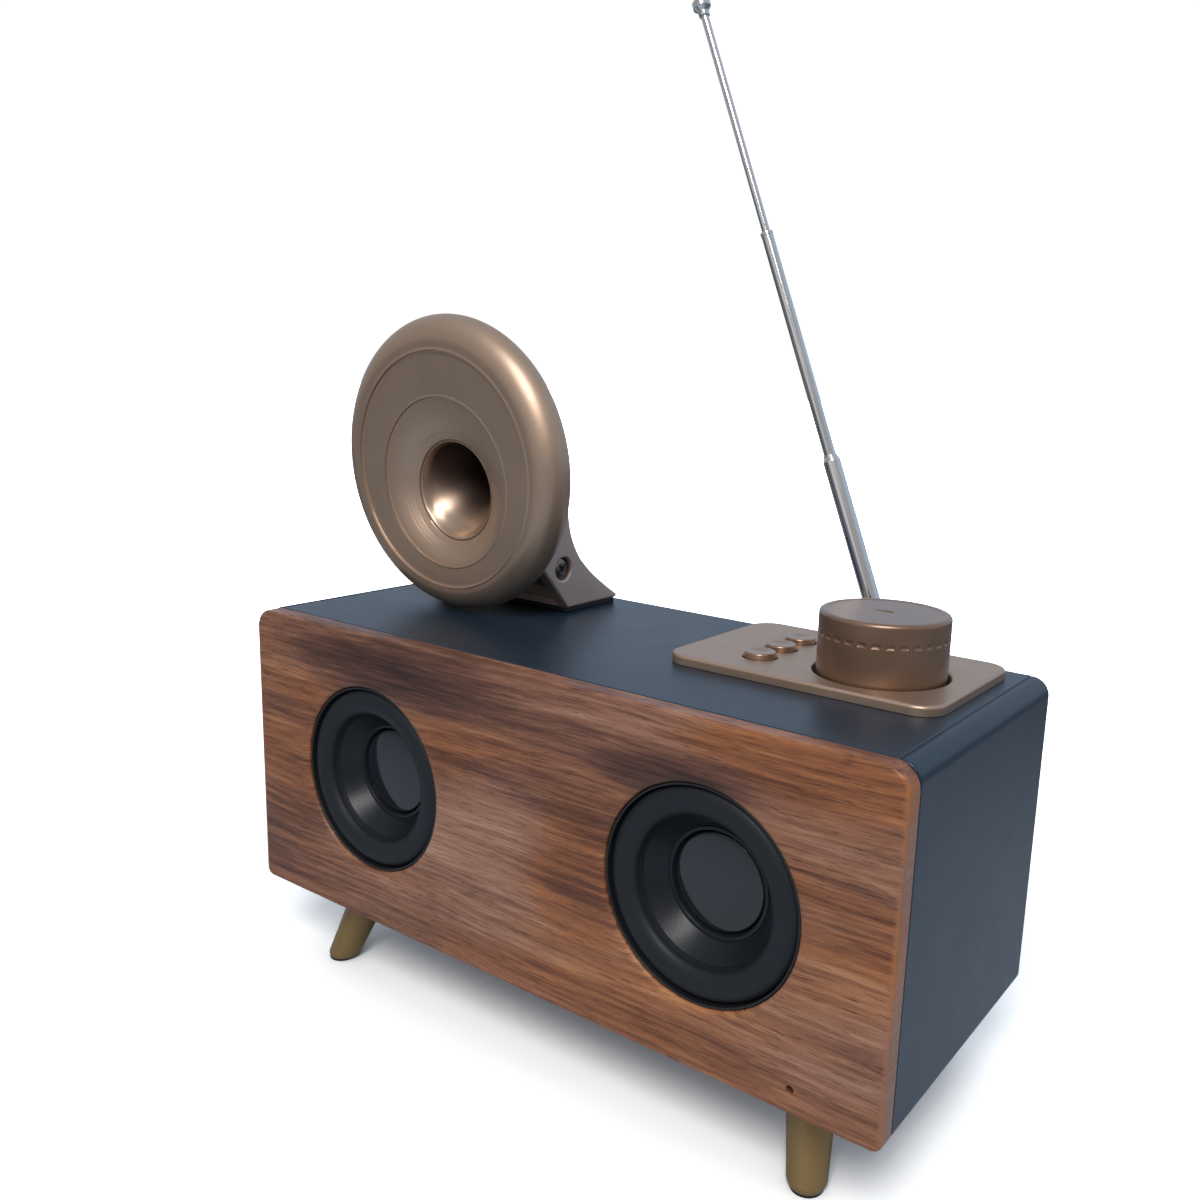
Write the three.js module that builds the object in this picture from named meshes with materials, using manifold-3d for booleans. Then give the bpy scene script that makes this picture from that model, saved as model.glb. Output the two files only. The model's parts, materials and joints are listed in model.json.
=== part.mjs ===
// A small retro table radio: a boxy cabinet with a wooden front board and two
// round loudspeakers, an ornamental metal horn tilting on a bracket, a control
// plate with a volume knob and three push buttons, a telescopic antenna behind
// the cabinet, and four splayed tapered legs.
// Units are millimetres. +X is the right-hand side, +Y the back, +Z up.
import * as THREE from 'three';
import { mergeVertices } from 'three/addons/utils/BufferGeometryUtils.js';
import Module from 'manifold-3d';

const wasm = await Module();
wasm.setup();

// Cabinet. The shell is drawn with y = 0 at the front of the wooden board and
// z = 0 at the underside, and the whole radio is moved onto its legs at the end.
const WIDTH = 200;
const DEPTH = 84;
const HEIGHT = 81.5;
const BOARD = 5;
const SIDE = 4.8;
const WALL = 3;
const SEAM = 0.4;
const TOP_CORNER = 5.5;
const BOTTOM_CORNER = 2.5;
const INNER_X = WIDTH / 2 - SIDE - SEAM;

// Loudspeakers, one each side of the middle.
const DRIVER_X = 53.2;
const DRIVER_Z = 41.1;
const DRIVER_HOLE = 25.6;
const BAFFLE_HOLE = 23;
const FLANGE_Y = 0.9;

// A pin hole for the indicator lamp, low on the right of the board.
const PIN_HOLE = { x: 78.8, z: 5.8, r: 0.9 };

// Legs: x and y of a front right leg's axis at the cabinet and at the floor, and the
// radii at its top, below its rim, above its rounded foot and at its pad.
const LEG_H = 24;
const LEG_TOP = [74, 20.5];
const LEG_FOOT = [79.2, 10.5];
const LEG_R = [6.2, 6, 4.7, 3.8];

// Control plate, knob and buttons, on the right of the top panel.
const PLATE = { x: [19.8, 91.5], y: [31.5, 80], t: 2.5, corner: 6.5 };
const KNOB = { x: 68.9, y: 52.5, r: 15.5, low: 0.6, high: 17.2 };
const BUTTON = { x: 40, y: [44.8, 55, 65.2], r: 3.9, high: 3.9 };
const CONTROL_BOARD_Z = 71.5;

// Horn. The bell leans forward by LEAN degrees on a cross axis through its bracket.
const HORN = { x: -58.4, y: 36.9, z: 123.5, lean: 4 };
const PIVOT = { y: 54.4, z: 94.8 };
const CHEEK = [22.1, 26.1];
const PAD_T = 1.5;
const WEB = { y: [57.2, 60.2], high: 89.2 };
const NECK_W = 18;

// Antenna, on the back of the cabinet.
const ANTENNA = { x: 56.6, y: 89.4, z: 71.6, tilt: 22, r: [2.4, 1.65, 1.1], bore: [1.75, 1.2] };
const ANTENNA_ENDS = [64, 128, 190];

// The deepest point behind the cabinet is the back of the antenna's first tube.
const REAR_MOST = ANTENNA.y + ANTENNA.r[0];

const WOOD = { color: 0x6f4630, roughness: 0.45, metalness: 0 };
const VINYL = { color: 0x20262e, roughness: 0.5, metalness: 0 };
const BLACK = { color: 0x16181b, roughness: 0.6, metalness: 0 };
const BRONZE = { color: 0x7d6a59, roughness: 0.35, metalness: 0.75 };
const KNOB_BRONZE = { color: 0x66503f, roughness: 0.3, metalness: 0.75 };
const BRASS = { color: 0x8a7442, roughness: 0.4, metalness: 0.6 };
const CHROME = { color: 0xc8cbd0, roughness: 0.15, metalness: 1 };
const STEEL = { color: 0x8d9094, roughness: 0.35, metalness: 1 };
const RUBBER = { color: 0x1b1d20, roughness: 0.75, metalness: 0 };
const CONE_PAPER = { color: 0x24272c, roughness: 0.55, metalness: 0 };
const GLOSS = { color: 0x14161a, roughness: 0.15, metalness: 0 };
const BOARD_GREEN = { color: 0x1f5a3a, roughness: 0.5, metalness: 0 };
const CELL = { color: 0x2f5f8f, roughness: 0.4, metalness: 0 };
const AMBER = { color: 0xb08a4a, roughness: 0.8, metalness: 0 };

const RAD = Math.PI / 180;

// ---------------------------------------------------------------- solids

// An indexed geometry from vertices and triangles, turned to face outwards.
function solid(vertices, triangles) {
  const geometry = new THREE.BufferGeometry();
  geometry.setAttribute('position', new THREE.Float32BufferAttribute(vertices, 3));
  let volume = 0;
  const corner = (i) => new THREE.Vector3().fromArray(vertices, 3 * i);
  for (let i = 0; i < triangles.length; i += 3) {
    const cross = corner(triangles[i + 1]).cross(corner(triangles[i + 2]));
    volume += corner(triangles[i]).dot(cross);
  }
  if (volume < 0) {
    for (let i = 0; i < triangles.length; i += 3) {
      const swap = triangles[i + 1];
      triangles[i + 1] = triangles[i + 2];
      triangles[i + 2] = swap;
    }
  }
  geometry.setIndex(triangles);
  return geometry;
}

// A skin over rings of points. A ring of one point closes an end, and a looped
// skin joins the last ring to the first, like a tube bent into a circle.
function skin(rings, looped = false) {
  const vertices = [];
  const triangles = [];
  const starts = [];
  for (const ring of rings) {
    starts.push(vertices.length / 3);
    for (const point of ring) vertices.push(point.x, point.y, point.z);
  }
  const pairs = looped ? rings.length : rings.length - 1;
  for (let i = 0; i < pairs; i++) {
    const j = (i + 1) % rings.length;
    const count = Math.max(rings[i].length, rings[j].length);
    for (let k = 0; k < count; k++) {
      const next = (k + 1) % count;
      const a = starts[i] + (rings[i].length > 1 ? k : 0);
      const b = starts[i] + (rings[i].length > 1 ? next : 0);
      const c = starts[j] + (rings[j].length > 1 ? k : 0);
      const d = starts[j] + (rings[j].length > 1 ? next : 0);
      if (rings[i].length > 1) triangles.push(a, b, d);
      if (rings[j].length > 1) triangles.push(a, d, c);
    }
  }
  return solid(vertices, triangles);
}

// A ring of points round a centre, in the plane of two unit directions.
function ring(centre, u, v, radius, count) {
  if (radius === 0) return [centre.clone()];
  const points = [];
  for (let k = 0; k < count; k++) {
    const angle = (2 * Math.PI * k) / count;
    const point = centre.clone().addScaledVector(u, radius * Math.cos(angle));
    points.push(point.addScaledVector(v, radius * Math.sin(angle)));
  }
  return points;
}

// Turns a profile of [radius, height] pairs round an axis through a base point.
function turned(profile, base, axis, count, looped = false) {
  const w = new THREE.Vector3(...axis).normalize();
  const side = Math.abs(w.z) > 0.9 ? new THREE.Vector3(1, 0, 0) : new THREE.Vector3(0, 0, 1);
  const u = new THREE.Vector3().crossVectors(side, w).normalize();
  const v = new THREE.Vector3().crossVectors(w, u);
  const origin = new THREE.Vector3(...base);
  const rings = profile.map(([radius, height]) =>
    ring(origin.clone().addScaledVector(w, height), u, v, radius, count));
  return skin(rings, looped);
}

// A plain cylinder from one height to another along an axis.
function rod(radius, from, to, base, axis, count = 16) {
  return turned([[0, from], [radius, from], [radius, to], [0, to]], base, axis, count);
}

function box(x, y, z) {
  const geometry = new THREE.BoxGeometry(x[1] - x[0], y[1] - y[0], z[1] - z[0]);
  geometry.translate((x[0] + x[1]) / 2, (y[0] + y[1]) / 2, (z[0] + z[1]) / 2);
  return bare(geometry);
}

// Keeps only welded positions, which is all a boolean needs.
function bare(geometry) {
  const clean = new THREE.BufferGeometry();
  clean.setAttribute('position', geometry.getAttribute('position'));
  if (geometry.index) clean.setIndex(geometry.index);
  return mergeVertices(clean, 1e-4);
}

function toManifold(geometry) {
  return new wasm.Manifold(new wasm.Mesh({
    numProp: 3,
    vertProperties: new Float32Array(geometry.getAttribute('position').array),
    triVerts: new Uint32Array(geometry.index.array),
  }));
}

function fromManifold(manifold) {
  const mesh = manifold.getMesh();
  return solid(Array.from(mesh.vertProperties), Array.from(mesh.triVerts));
}

function joined(first, ...others) {
  let result = toManifold(first);
  for (const other of others) result = result.add(toManifold(other));
  return fromManifold(result);
}

function cut(first, ...tools) {
  let result = toManifold(first);
  for (const tool of tools) result = result.subtract(toManifold(tool));
  return fromManifold(result);
}

// ---------------------------------------------------------------- outlines

// A rectangle with a radius at each corner, given from the lower left one round.
function roundedRectangle(x, y, radii, steps = 4) {
  const corners = [
    [x[0], y[0], 180], [x[1], y[0], 270], [x[1], y[1], 0], [x[0], y[1], 90],
  ];
  const points = [];
  corners.forEach(([cx, cy, start], i) => {
    const r = radii[i];
    if (r === 0) {
      points.push(new THREE.Vector2(cx, cy));
      return;
    }
    const mx = cx + (i === 0 || i === 3 ? r : -r);
    const my = cy + (i < 2 ? r : -r);
    for (let k = 0; k <= steps; k++) {
      const angle = (start + (90 * k) / steps) * RAD;
      points.push(new THREE.Vector2(mx + r * Math.cos(angle), my + r * Math.sin(angle)));
    }
  });
  return new THREE.Shape(points);
}

// Each hole starts at its own angle, so no corners of neighbours line up exactly.
function circleHole(x, y, radius, count = 32) {
  const points = [];
  for (let k = 0; k < count; k++) {
    const angle = (2 * Math.PI * k) / count + 0.013 * (x + 2 * y);
    points.push(new THREE.Vector2(x + radius * Math.cos(angle), y + radius * Math.sin(angle)));
  }
  return new THREE.Path(points);
}

function rectangleHole(x, y) {
  return new THREE.Path([
    new THREE.Vector2(x[0], y[0]), new THREE.Vector2(x[1], y[0]),
    new THREE.Vector2(x[1], y[1]), new THREE.Vector2(x[0], y[1]),
  ]);
}

// Extrudes an outline by a thickness, with its edges broken by a bevel.
function slab(shape, thickness, bevel = 0) {
  const options = { depth: thickness, bevelEnabled: false };
  if (bevel > 0) {
    options.depth = thickness - 2 * bevel;
    options.bevelEnabled = true;
    options.bevelSize = bevel;
    options.bevelThickness = bevel;
    options.bevelOffset = -bevel;
    options.bevelSegments = 1;
  }
  const geometry = new THREE.ExtrudeGeometry(shape, options);
  geometry.translate(0, 0, bevel);
  return bare(geometry);
}

// A slab whose outline lies in X and Z, running back from a given y.
function frontSlab(shape, y, thickness, bevel = 0) {
  const geometry = slab(shape, thickness, bevel);
  geometry.rotateX(90 * RAD);
  geometry.translate(0, y + thickness, 0);
  return geometry;
}

// A slab whose outline lies in Y and Z, running to the right from a given x.
function sideSlab(shape, x, thickness) {
  const geometry = slab(shape, thickness);
  geometry.rotateZ(90 * RAD);
  geometry.rotateY(90 * RAD);
  geometry.translate(x, 0, 0);
  return geometry;
}

// ---------------------------------------------------------------- cabinet

function frontBoard() {
  const half = WIDTH / 2;
  const radii = [BOTTOM_CORNER, BOTTOM_CORNER, TOP_CORNER, TOP_CORNER];
  const shape = roundedRectangle([-half, half], [0, HEIGHT], radii);
  for (const side of [-1, 1]) shape.holes.push(circleHole(side * DRIVER_X, DRIVER_Z, DRIVER_HOLE));
  shape.holes.push(circleHole(PIN_HOLE.x, PIN_HOLE.z, PIN_HOLE.r, 12));
  return frontSlab(shape, 0, BOARD, 0.6);
}

function frontBaffle() {
  const shape = roundedRectangle([-INNER_X, INNER_X], [WALL + 0.2, HEIGHT - WALL - 0.2], [0, 0, 0, 0]);
  for (const side of [-1, 1]) shape.holes.push(circleHole(side * DRIVER_X, DRIVER_Z, BAFFLE_HOLE));
  return frontSlab(shape, BOARD, WALL);
}

function topPanel() {
  const shape = roundedRectangle([-INNER_X, INNER_X], [BOARD, DEPTH], [0, 0, 0, 0]);
  shape.holes.push(circleHole(KNOB.x, KNOB.y, 3.6, 24));
  for (const y of BUTTON.y) shape.holes.push(circleHole(BUTTON.x, y, 2.6, 16));
  const geometry = slab(shape, WALL);
  geometry.translate(0, 0, HEIGHT - WALL);
  return geometry;
}

function bottomPanel() {
  return box([-INNER_X, INNER_X], [BOARD, DEPTH], [0, WALL]);
}

function sidePanel(side) {
  const half = WIDTH / 2;
  const x = side > 0 ? [half - SIDE, half] : [-half, SIDE - half];
  const top = TOP_CORNER - 1;
  const radii = side > 0 ? [0, BOTTOM_CORNER, top, 0] : [BOTTOM_CORNER, 0, 0, top];
  return frontSlab(roundedRectangle(x, [0, HEIGHT], radii), BOARD, DEPTH - BOARD);
}

const REAR_SCREWS = [[-88, 9], [88, 9], [-88, 72.5], [88, 72.5]];
const USB = { x: [-24.6, -15.4], z: [12.2, 15.8] };
const JACK = { x: 0, z: 14, r: 3.2 };
const POWER = { x: 20, z: 14 };
const CELL_AXIS = { y: 54, z: 14.2, r: 9 };
const MAIN_BOARD = { x: [-42, 42], y: [69.4, 71], z: [8, 46] };

function rearPanel() {
  const shape = roundedRectangle([-INNER_X, INNER_X], [WALL + 0.2, HEIGHT - WALL - 0.2], [0, 0, 0, 0]);
  for (const [x, z] of REAR_SCREWS) shape.holes.push(circleHole(x, z, 1.4, 10));
  shape.holes.push(rectangleHole([USB.x[0] - 0.3, USB.x[1] + 0.3], [USB.z[0] - 0.3, USB.z[1] + 0.3]));
  shape.holes.push(circleHole(JACK.x, JACK.z, JACK.r + 0.3, 16));
  shape.holes.push(rectangleHole([POWER.x - 3.9, POWER.x + 3.9], [POWER.z - 1.6, POWER.z + 1.6]));
  return frontSlab(shape, DEPTH - WALL, WALL);
}

function rearScrew(x, z) {
  const profile = [[0, -6], [1.3, -6], [1.3, 0.05], [2.6, 0.05], [2.2, 1.3], [0, 1.3]];
  const screw = turned(profile, [x, DEPTH, z], [0, 1, 0], 12);
  const slotA = box([x - 1.5, x + 1.5], [DEPTH + 0.6, DEPTH + 2], [z - 0.3, z + 0.3]);
  const slotB = box([x - 0.3, x + 0.3], [DEPTH + 0.6, DEPTH + 2], [z - 1.5, z + 1.5]);
  return cut(screw, slotA, slotB);
}

function usbPort() {
  const y = [72, DEPTH + 0.4];
  const shell = box(USB.x, y, USB.z);
  const mouth = box([USB.x[0] + 0.5, USB.x[1] - 0.5], [77, DEPTH + 1], [USB.z[0] + 0.5, USB.z[1] - 0.5]);
  const tongue = box([USB.x[0] + 1.6, USB.x[1] - 1.6], [76, DEPTH - 0.6], [13.6, 14.4]);
  return joined(cut(shell, mouth), tongue);
}

function auxJack() {
  const profile = [[0, 72], [JACK.r, 72], [JACK.r, DEPTH + 0.6], [1.8, DEPTH + 0.6], [1.8, 75], [0, 75]];
  return turned(profile, [JACK.x, 0, JACK.z], [0, 1, 0], 16);
}

function powerSlider() {
  const plate = box([POWER.x - 5.5, POWER.x + 2.5], [79.4, 80.7], [POWER.z - 2.6, POWER.z + 2.6]);
  const grip = box([POWER.x - 3.5, POWER.x + 0.5], [80, DEPTH + 1.4], [POWER.z - 1.3, POWER.z + 1.3]);
  return joined(plate, grip);
}

function mainBoard() {
  const board = box(MAIN_BOARD.x, MAIN_BOARD.y, MAIN_BOARD.z);
  const posts = [];
  for (const x of [-38, 38]) {
    for (const z of [12, 42]) {
      posts.push(rod(2.2, MAIN_BOARD.y[1] - 0.5, DEPTH - WALL - 0.05, [x, 0, z], [0, 1, 0], 12));
    }
  }
  const chips = [
    box([-12, 2], [67.4, 70], [26, 40]),
    box([14, 24], [66.4, 70], [30, 40]),
    box([-34, -26], [65.4, 70], [24, 36]),
    box([POWER.x - 6.5, POWER.x + 6.5], [70.5, 79.2], [POWER.z - 3, POWER.z + 3]),
  ];
  return joined(board, ...posts, ...chips);
}

function batteryCell() {
  const { y, z, r } = CELL_AXIS;
  const profile = [[0, -32.5], [r - 0.4, -32.5], [r, -32], [r, 30.5], [4, 30.5], [4, 32.3], [0, 32.3]];
  return turned(profile, [0, y, z], [1, 0, 0], 20);
}

function batteryHolder() {
  const { y, z, r } = CELL_AXIS;
  const block = box([-36, 36], [y - 10.8, y + 10.8], [WALL, 12]);
  const bay = rod(r + 0.2, -33, 33, [0, y, z], [1, 0, 0], 20);
  return cut(block, bay);
}

// ---------------------------------------------------------------- legs

function legRings(sx, back, heights, radii) {
  const rings = [];
  const x = new THREE.Vector3(1, 0, 0);
  const y = new THREE.Vector3(0, 1, 0);
  heights.forEach((h, i) => {
    const t = -h / LEG_H;
    const px = LEG_TOP[0] + (LEG_FOOT[0] - LEG_TOP[0]) * t;
    const py = LEG_TOP[1] + (LEG_FOOT[1] - LEG_TOP[1]) * t;
    const centre = new THREE.Vector3(sx * px, back ? DEPTH - py : py, h);
    rings.push(ring(centre, x, y, radii[i], 16));
  });
  return skin(rings);
}

function leg(sx, back) {
  const foot = 1.3 - LEG_H;
  const heights = [-0.05, -0.05, -2, foot + 1, foot, foot];
  return legRings(sx, back, heights, [0, LEG_R[0], LEG_R[1], LEG_R[2], LEG_R[3] + 0.3, 0]);
}

function footPad(sx, back) {
  const top = 1.25 - LEG_H;
  return legRings(sx, back, [top, top, -LEG_H, -LEG_H], [0, LEG_R[3], LEG_R[3], 0]);
}

// ---------------------------------------------------------------- loudspeakers

// The profiles are [radius, depth behind the front of the board].
function driverPiece(side, profile, count, looped) {
  return turned(profile, [side * DRIVER_X, 0, DRIVER_Z], [0, 1, 0], count, looped);
}

function driverFrame(side) {
  const profile = [
    [24.7, FLANGE_Y + 0.2], [24.9, FLANGE_Y], [25.2, FLANGE_Y], [25.2, 4.95], [22.5, 4.95], [17.2, 17], [17.2, 18.4],
    [14.6, 18.4], [14.6, 17.1], [21.4, 5.6], [21.8, 3.7], [24.7, 3.7],
  ];
  return driverPiece(side, profile, 30, true);
}

function surround(side) {
  const roll = [];
  for (let k = 0; k <= 4; k++) {
    const angle = (k / 4) * Math.PI;
    roll.push([21 + 3.1 * Math.cos(angle), 3.1 - 2.2 * Math.sin(angle)]);
  }
  const back = [[16.2, 4.1], [17.9, 3.9], [21, 1.6], [23.6, 3.6], [24.5, 3.6]];
  return driverPiece(side, [[24.5, 3.1], ...roll, [16.2, 3.6], ...back], 30, true);
}

function cone(side) {
  const front = [[17.2, 4.2], [13.4, 9.4], [12.7, 9], [12, 10.6], [7.6, 14.8]];
  const back = [[7.6, 15.3], [13.5, 10.2], [17.2, 4.8]];
  return driverPiece(side, [...front, ...back], 30, true);
}

function dustCap(side) {
  const front = [[0, 8.9], [4, 9.05], [7.5, 9.55], [11.4, 11]];
  const back = [[7.4, 10.05], [0, 9.4]];
  return driverPiece(side, [...front, ...back], 30, false);
}

function voiceCoil(side) {
  return driverPiece(side, [[7, 14.9], [7.45, 14.9], [7.45, 24.5], [7, 24.5]], 16, true);
}

function spider(side) {
  const front = [[7.65, 16.3], [9.5, 15.9], [12, 16.5], [14.35, 16.3]];
  const back = front.map(([r, y]) => [r, y + 0.35]).reverse();
  return driverPiece(side, [...front, ...back], 16, true);
}

function magnet(side) {
  const profile = [
    [0, 18.6], [6.5, 18.6], [6.5, 26.5], [8.1, 26.5], [8.1, 18.6], [16.6, 18.6], [16.6, 20.2],
    [18, 20.2], [18, 30], [0, 30],
  ];
  return driverPiece(side, profile, 18, false);
}

// ---------------------------------------------------------------- controls

function controlPlate() {
  const shape = roundedRectangle(PLATE.x, PLATE.y, Array(4).fill(PLATE.corner), 5);
  shape.holes.push(circleHole(KNOB.x, KNOB.y, KNOB.r + 0.8));
  for (const y of BUTTON.y) shape.holes.push(circleHole(BUTTON.x, y, BUTTON.r + 0.35, 16));
  const geometry = slab(shape, PLATE.t, 0.6);
  geometry.translate(0, 0, HEIGHT);
  return geometry;
}

function knob() {
  const { r, low, high } = KNOB;
  const profile = [
    [0, low + 9.6], [3.05, low + 9.6], [3.05, low + 4], [5, low + 4], [5, low],
    [r, low], [r, high - 1.3], [r - 0.4, high - 0.4], [r - 1.3, high], [0, high],
  ];
  const base = [KNOB.x, KNOB.y, HEIGHT];
  const body = turned(profile, base, [0, 0, 1], 32);
  const mark = box([KNOB.x - 2.2, KNOB.x + 2.2], [KNOB.y - 0.6, KNOB.y + 0.6], [HEIGHT + high - 0.35, HEIGHT + high + 1]);
  return cut(body, mark);
}

function knobShaft() {
  return rod(3, CONTROL_BOARD_Z + 3 - HEIGHT, KNOB.low + 9.5, [KNOB.x, KNOB.y, HEIGHT], [0, 0, 1], 32);
}

function encoder() {
  const low = CONTROL_BOARD_Z + 1.65;
  const body = box([KNOB.x - 6.5, KNOB.x + 6.5], [KNOB.y - 6.5, KNOB.y + 6.5], [low, HEIGHT - WALL - 0.1]);
  return cut(body, rod(3.08, low + 1, 20 + low, [KNOB.x, KNOB.y, 0], [0, 0, 1], 32));
}

function button(y) {
  const profile = [
    [0, -4.6], [2.2, -4.6], [2.2, 0.8], [BUTTON.r, 0.8], [BUTTON.r, BUTTON.high - 0.5],
    [BUTTON.r - 0.4, BUTTON.high], [0, BUTTON.high - 0.4],
  ];
  return turned(profile, [BUTTON.x, y, HEIGHT], [0, 0, 1], 16);
}

function controlBoard() {
  const z = CONTROL_BOARD_Z;
  const board = box([30, 86], [36, 76], [z, z + 1.6]);
  const extras = [];
  for (const y of BUTTON.y) {
    extras.push(rod(1.6, z + 1, z + 4.7, [BUTTON.x, y, 0], [0, 0, 1], 12));
    extras.push(box([BUTTON.x - 3, BUTTON.x + 3], [y - 3, y + 3], [z + 1, z + 3.6]));
  }
  for (const x of [33, 83]) {
    for (const y of [39, 73]) extras.push(rod(1.8, z + 1, HEIGHT - WALL - 0.05, [x, y, 0], [0, 0, 1], 12));
  }
  return joined(board, ...extras);
}

// ---------------------------------------------------------------- horn

// The bell is a skin over circles: distance in front of the rim's middle, drop of
// the circle's centre, radius. The throat sits below the middle of the rim.
const BELL_FRONT = [
  [-23, -4.2, 6.2], [-15, -4.8, 7.5], [-8, -5.9, 10], [-1.5, -7.2, 13.6],
  [1.2, -7.4, 15.5], [3.5, -6, 20], [4.2, -4.9, 23.4], [4.8, -4.6, 24.2],
  [5.2, -1.4, 32.8], [6, -1.1, 33.5],
];
const BELL_RIM = [
  [5.9, -0.6, 35.6], [4.9, -0.2, 38.3], [2.8, 0, 40.5], [0, 0, 41.5], [-2.8, 0, 40.6], [-4.8, 0, 38.2],
];
const BELL_BACK = [
  [-6.3, -1, 31], [-8, -2.6, 24.5], [-12.5, -4, 17.5], [-22, -4.4, 10.6], [-26, -4.3, 8.6],
];

const LEAN = HORN.lean * RAD;
const FORWARD = new THREE.Vector3(0, -Math.cos(LEAN), -Math.sin(LEAN));
const UPWARD = new THREE.Vector3(0, -Math.sin(LEAN), Math.cos(LEAN));
const SIDEWAYS = new THREE.Vector3(1, 0, 0);

function bellPoint(forward, up) {
  const point = new THREE.Vector3(HORN.x, HORN.y, HORN.z);
  return point.addScaledVector(FORWARD, forward).addScaledVector(UPWARD, up);
}

function bell() {
  const circles = [[-23, -4.2, 0], ...BELL_FRONT, ...BELL_RIM, ...BELL_BACK, [-26, -4.3, 0]];
  return skin(circles.map(([s, dz, r]) => ring(bellPoint(s, dz), SIDEWAYS, UPWARD, r, 36)));
}

// A slightly larger copy of the outside of the bell, to shape what meets its back.
function bellClearance() {
  const circles = [[6, 0, 0], [6, 0, 36], ...BELL_RIM, ...BELL_BACK, [-26, -4.3, 0]];
  return skin(circles.map(([s, dz, r]) =>
    ring(bellPoint(s - 0.15, dz), SIDEWAYS, UPWARD, r > 0 ? r + 0.2 : 0, 36)));
}

function hornArm() {
  const neckPoints = [[-5, -35], [-5, -8], [-15, -10], [-22, -22], [-23, -31], [-17, -35.5]];
  const shape = new THREE.Shape(neckPoints.map(([s, up]) => {
    const point = bellPoint(s, up);
    return new THREE.Vector2(point.y, point.z);
  }));
  const neck = sideSlab(shape, HORN.x - NECK_W / 2, NECK_W);
  const barrel = rod(5.8, -21.8, 21.8, [HORN.x, PIVOT.y, PIVOT.z], [1, 0, 0], 20);
  const bore = rod(2.05, -23, 23, [HORN.x, PIVOT.y, PIVOT.z], [1, 0, 0], 20);
  return cut(joined(neck, barrel), bore, bellClearance());
}

function hornBracket() {
  const low = HEIGHT + PAD_T;
  const outline = [
    [56.5, low], [79, low], [79.6, low + 1], [72.2, 88.8], [68, 91.8], [64.4, 94.9], [61.9, 97.4],
    [60.1, 100], [58.2, 103.6], [56.9, 108], [56.3, 117], [55.6, 119.8], [54, 121], [52.6, 120.2],
    [51.8, 117.4], [48.8, 108], [45.6, 96],
  ];
  const cheek = () => new THREE.Shape(outline.map(([y, z]) => new THREE.Vector2(y, z)));
  const thickness = CHEEK[1] - CHEEK[0];
  const right = sideSlab(cheek(), HORN.x + CHEEK[0], thickness);
  const left = sideSlab(cheek(), HORN.x - CHEEK[1], thickness);
  const base = box([HORN.x - CHEEK[1], HORN.x + CHEEK[1]], [56.5, 77.5], [low, low + 2.4]);
  const web = box([HORN.x - CHEEK[1] + 1, HORN.x + CHEEK[1] - 1], WEB.y, [low, WEB.high]);
  const axis = [HORN.x, PIVOT.y, PIVOT.z];
  const bore = rod(2.55, -30, 30, axis, [1, 0, 0], 20);
  const sinks = [rod(3.3, 24.4, 30, axis, [1, 0, 0], 20), rod(3.3, -30, -24.4, axis, [1, 0, 0], 20)];
  return cut(joined(right, left, base, web), bore, ...sinks);
}

function bracketPad() {
  const x = [HORN.x - CHEEK[1] + 0.5, HORN.x + CHEEK[1] - 0.5];
  const geometry = slab(roundedRectangle(x, [56.8, 79.2], [1, 1, 1, 1], 3), PAD_T - 0.02);
  geometry.translate(0, 0, HEIGHT + 0.01);
  return geometry;
}

function pivotBolt(side) {
  const profile = [[0, 12], [2, 12], [2, 22], [2.5, 22], [2.5, 24.4], [3.1, 24.4], [3.1, 25.1], [0, 25.1]];
  const bolt = turned(profile, [HORN.x, PIVOT.y, PIVOT.z], [side, 0, 0], 20);
  const x = HORN.x + side * 25.4;
  const slotA = box([x - 0.8, x + 0.8], [PIVOT.y - 1.9, PIVOT.y + 1.9], [PIVOT.z - 0.4, PIVOT.z + 0.4]);
  const slotB = box([x - 0.8, x + 0.8], [PIVOT.y - 0.4, PIVOT.y + 0.4], [PIVOT.z - 1.9, PIVOT.z + 1.9]);
  return cut(bolt, slotA, slotB);
}

// ---------------------------------------------------------------- antenna

const TILT = ANTENNA.tilt * RAD;
const ALONG = [-Math.sin(TILT), 0, Math.cos(TILT)];
const ACROSS = [Math.cos(TILT), 0, Math.sin(TILT)];
const ANTENNA_FOOT = [ANTENNA.x, ANTENNA.y, ANTENNA.z];

// Moves a piece drawn upright at the origin onto the tilted antenna.
function onAntenna(geometry) {
  geometry.rotateY(-TILT);
  geometry.translate(...ANTENNA_FOOT);
  return geometry;
}

function antennaBase() {
  const profile = [
    [1.95, 0], [7, 0], [7, 1.4], [6.2, 2.1], [1.95, 2.1],
  ];
  return turned(profile, [ANTENNA.x, DEPTH + 0.02, ANTENNA.z], [0, 1, 0], 16, true);
}

function antennaKnuckle() {
  const back = DEPTH - ANTENNA.y;
  const disc = turned([[0, 0.3], [1.9, 0.3], [1.9, 2.25], [4.6, 2.25], [4.6, 3.1], [0, 3.1]],
    [0, back, 0], [0, 1, 0], 16);
  const ears = [];
  for (const side of [-1, 1]) {
    const x = side > 0 ? [1.4, 2.9] : [-2.9, -1.4];
    ears.push(box(x, [back + 2.9, 0], [-2.4, 2.4]));
    ears.push(rod(2.4, x[0], x[1], [0, 0, 0], [1, 0, 0], 16));
  }
  const hole = rod(0.95, -4, 4, [0, 0, 0], [1, 0, 0], 12);
  return onAntenna(cut(joined(disc, ...ears), hole));
}

function antennaPin() {
  return rod(0.9, -3.2, 3.2, ANTENNA_FOOT, ACROSS, 12);
}

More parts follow.
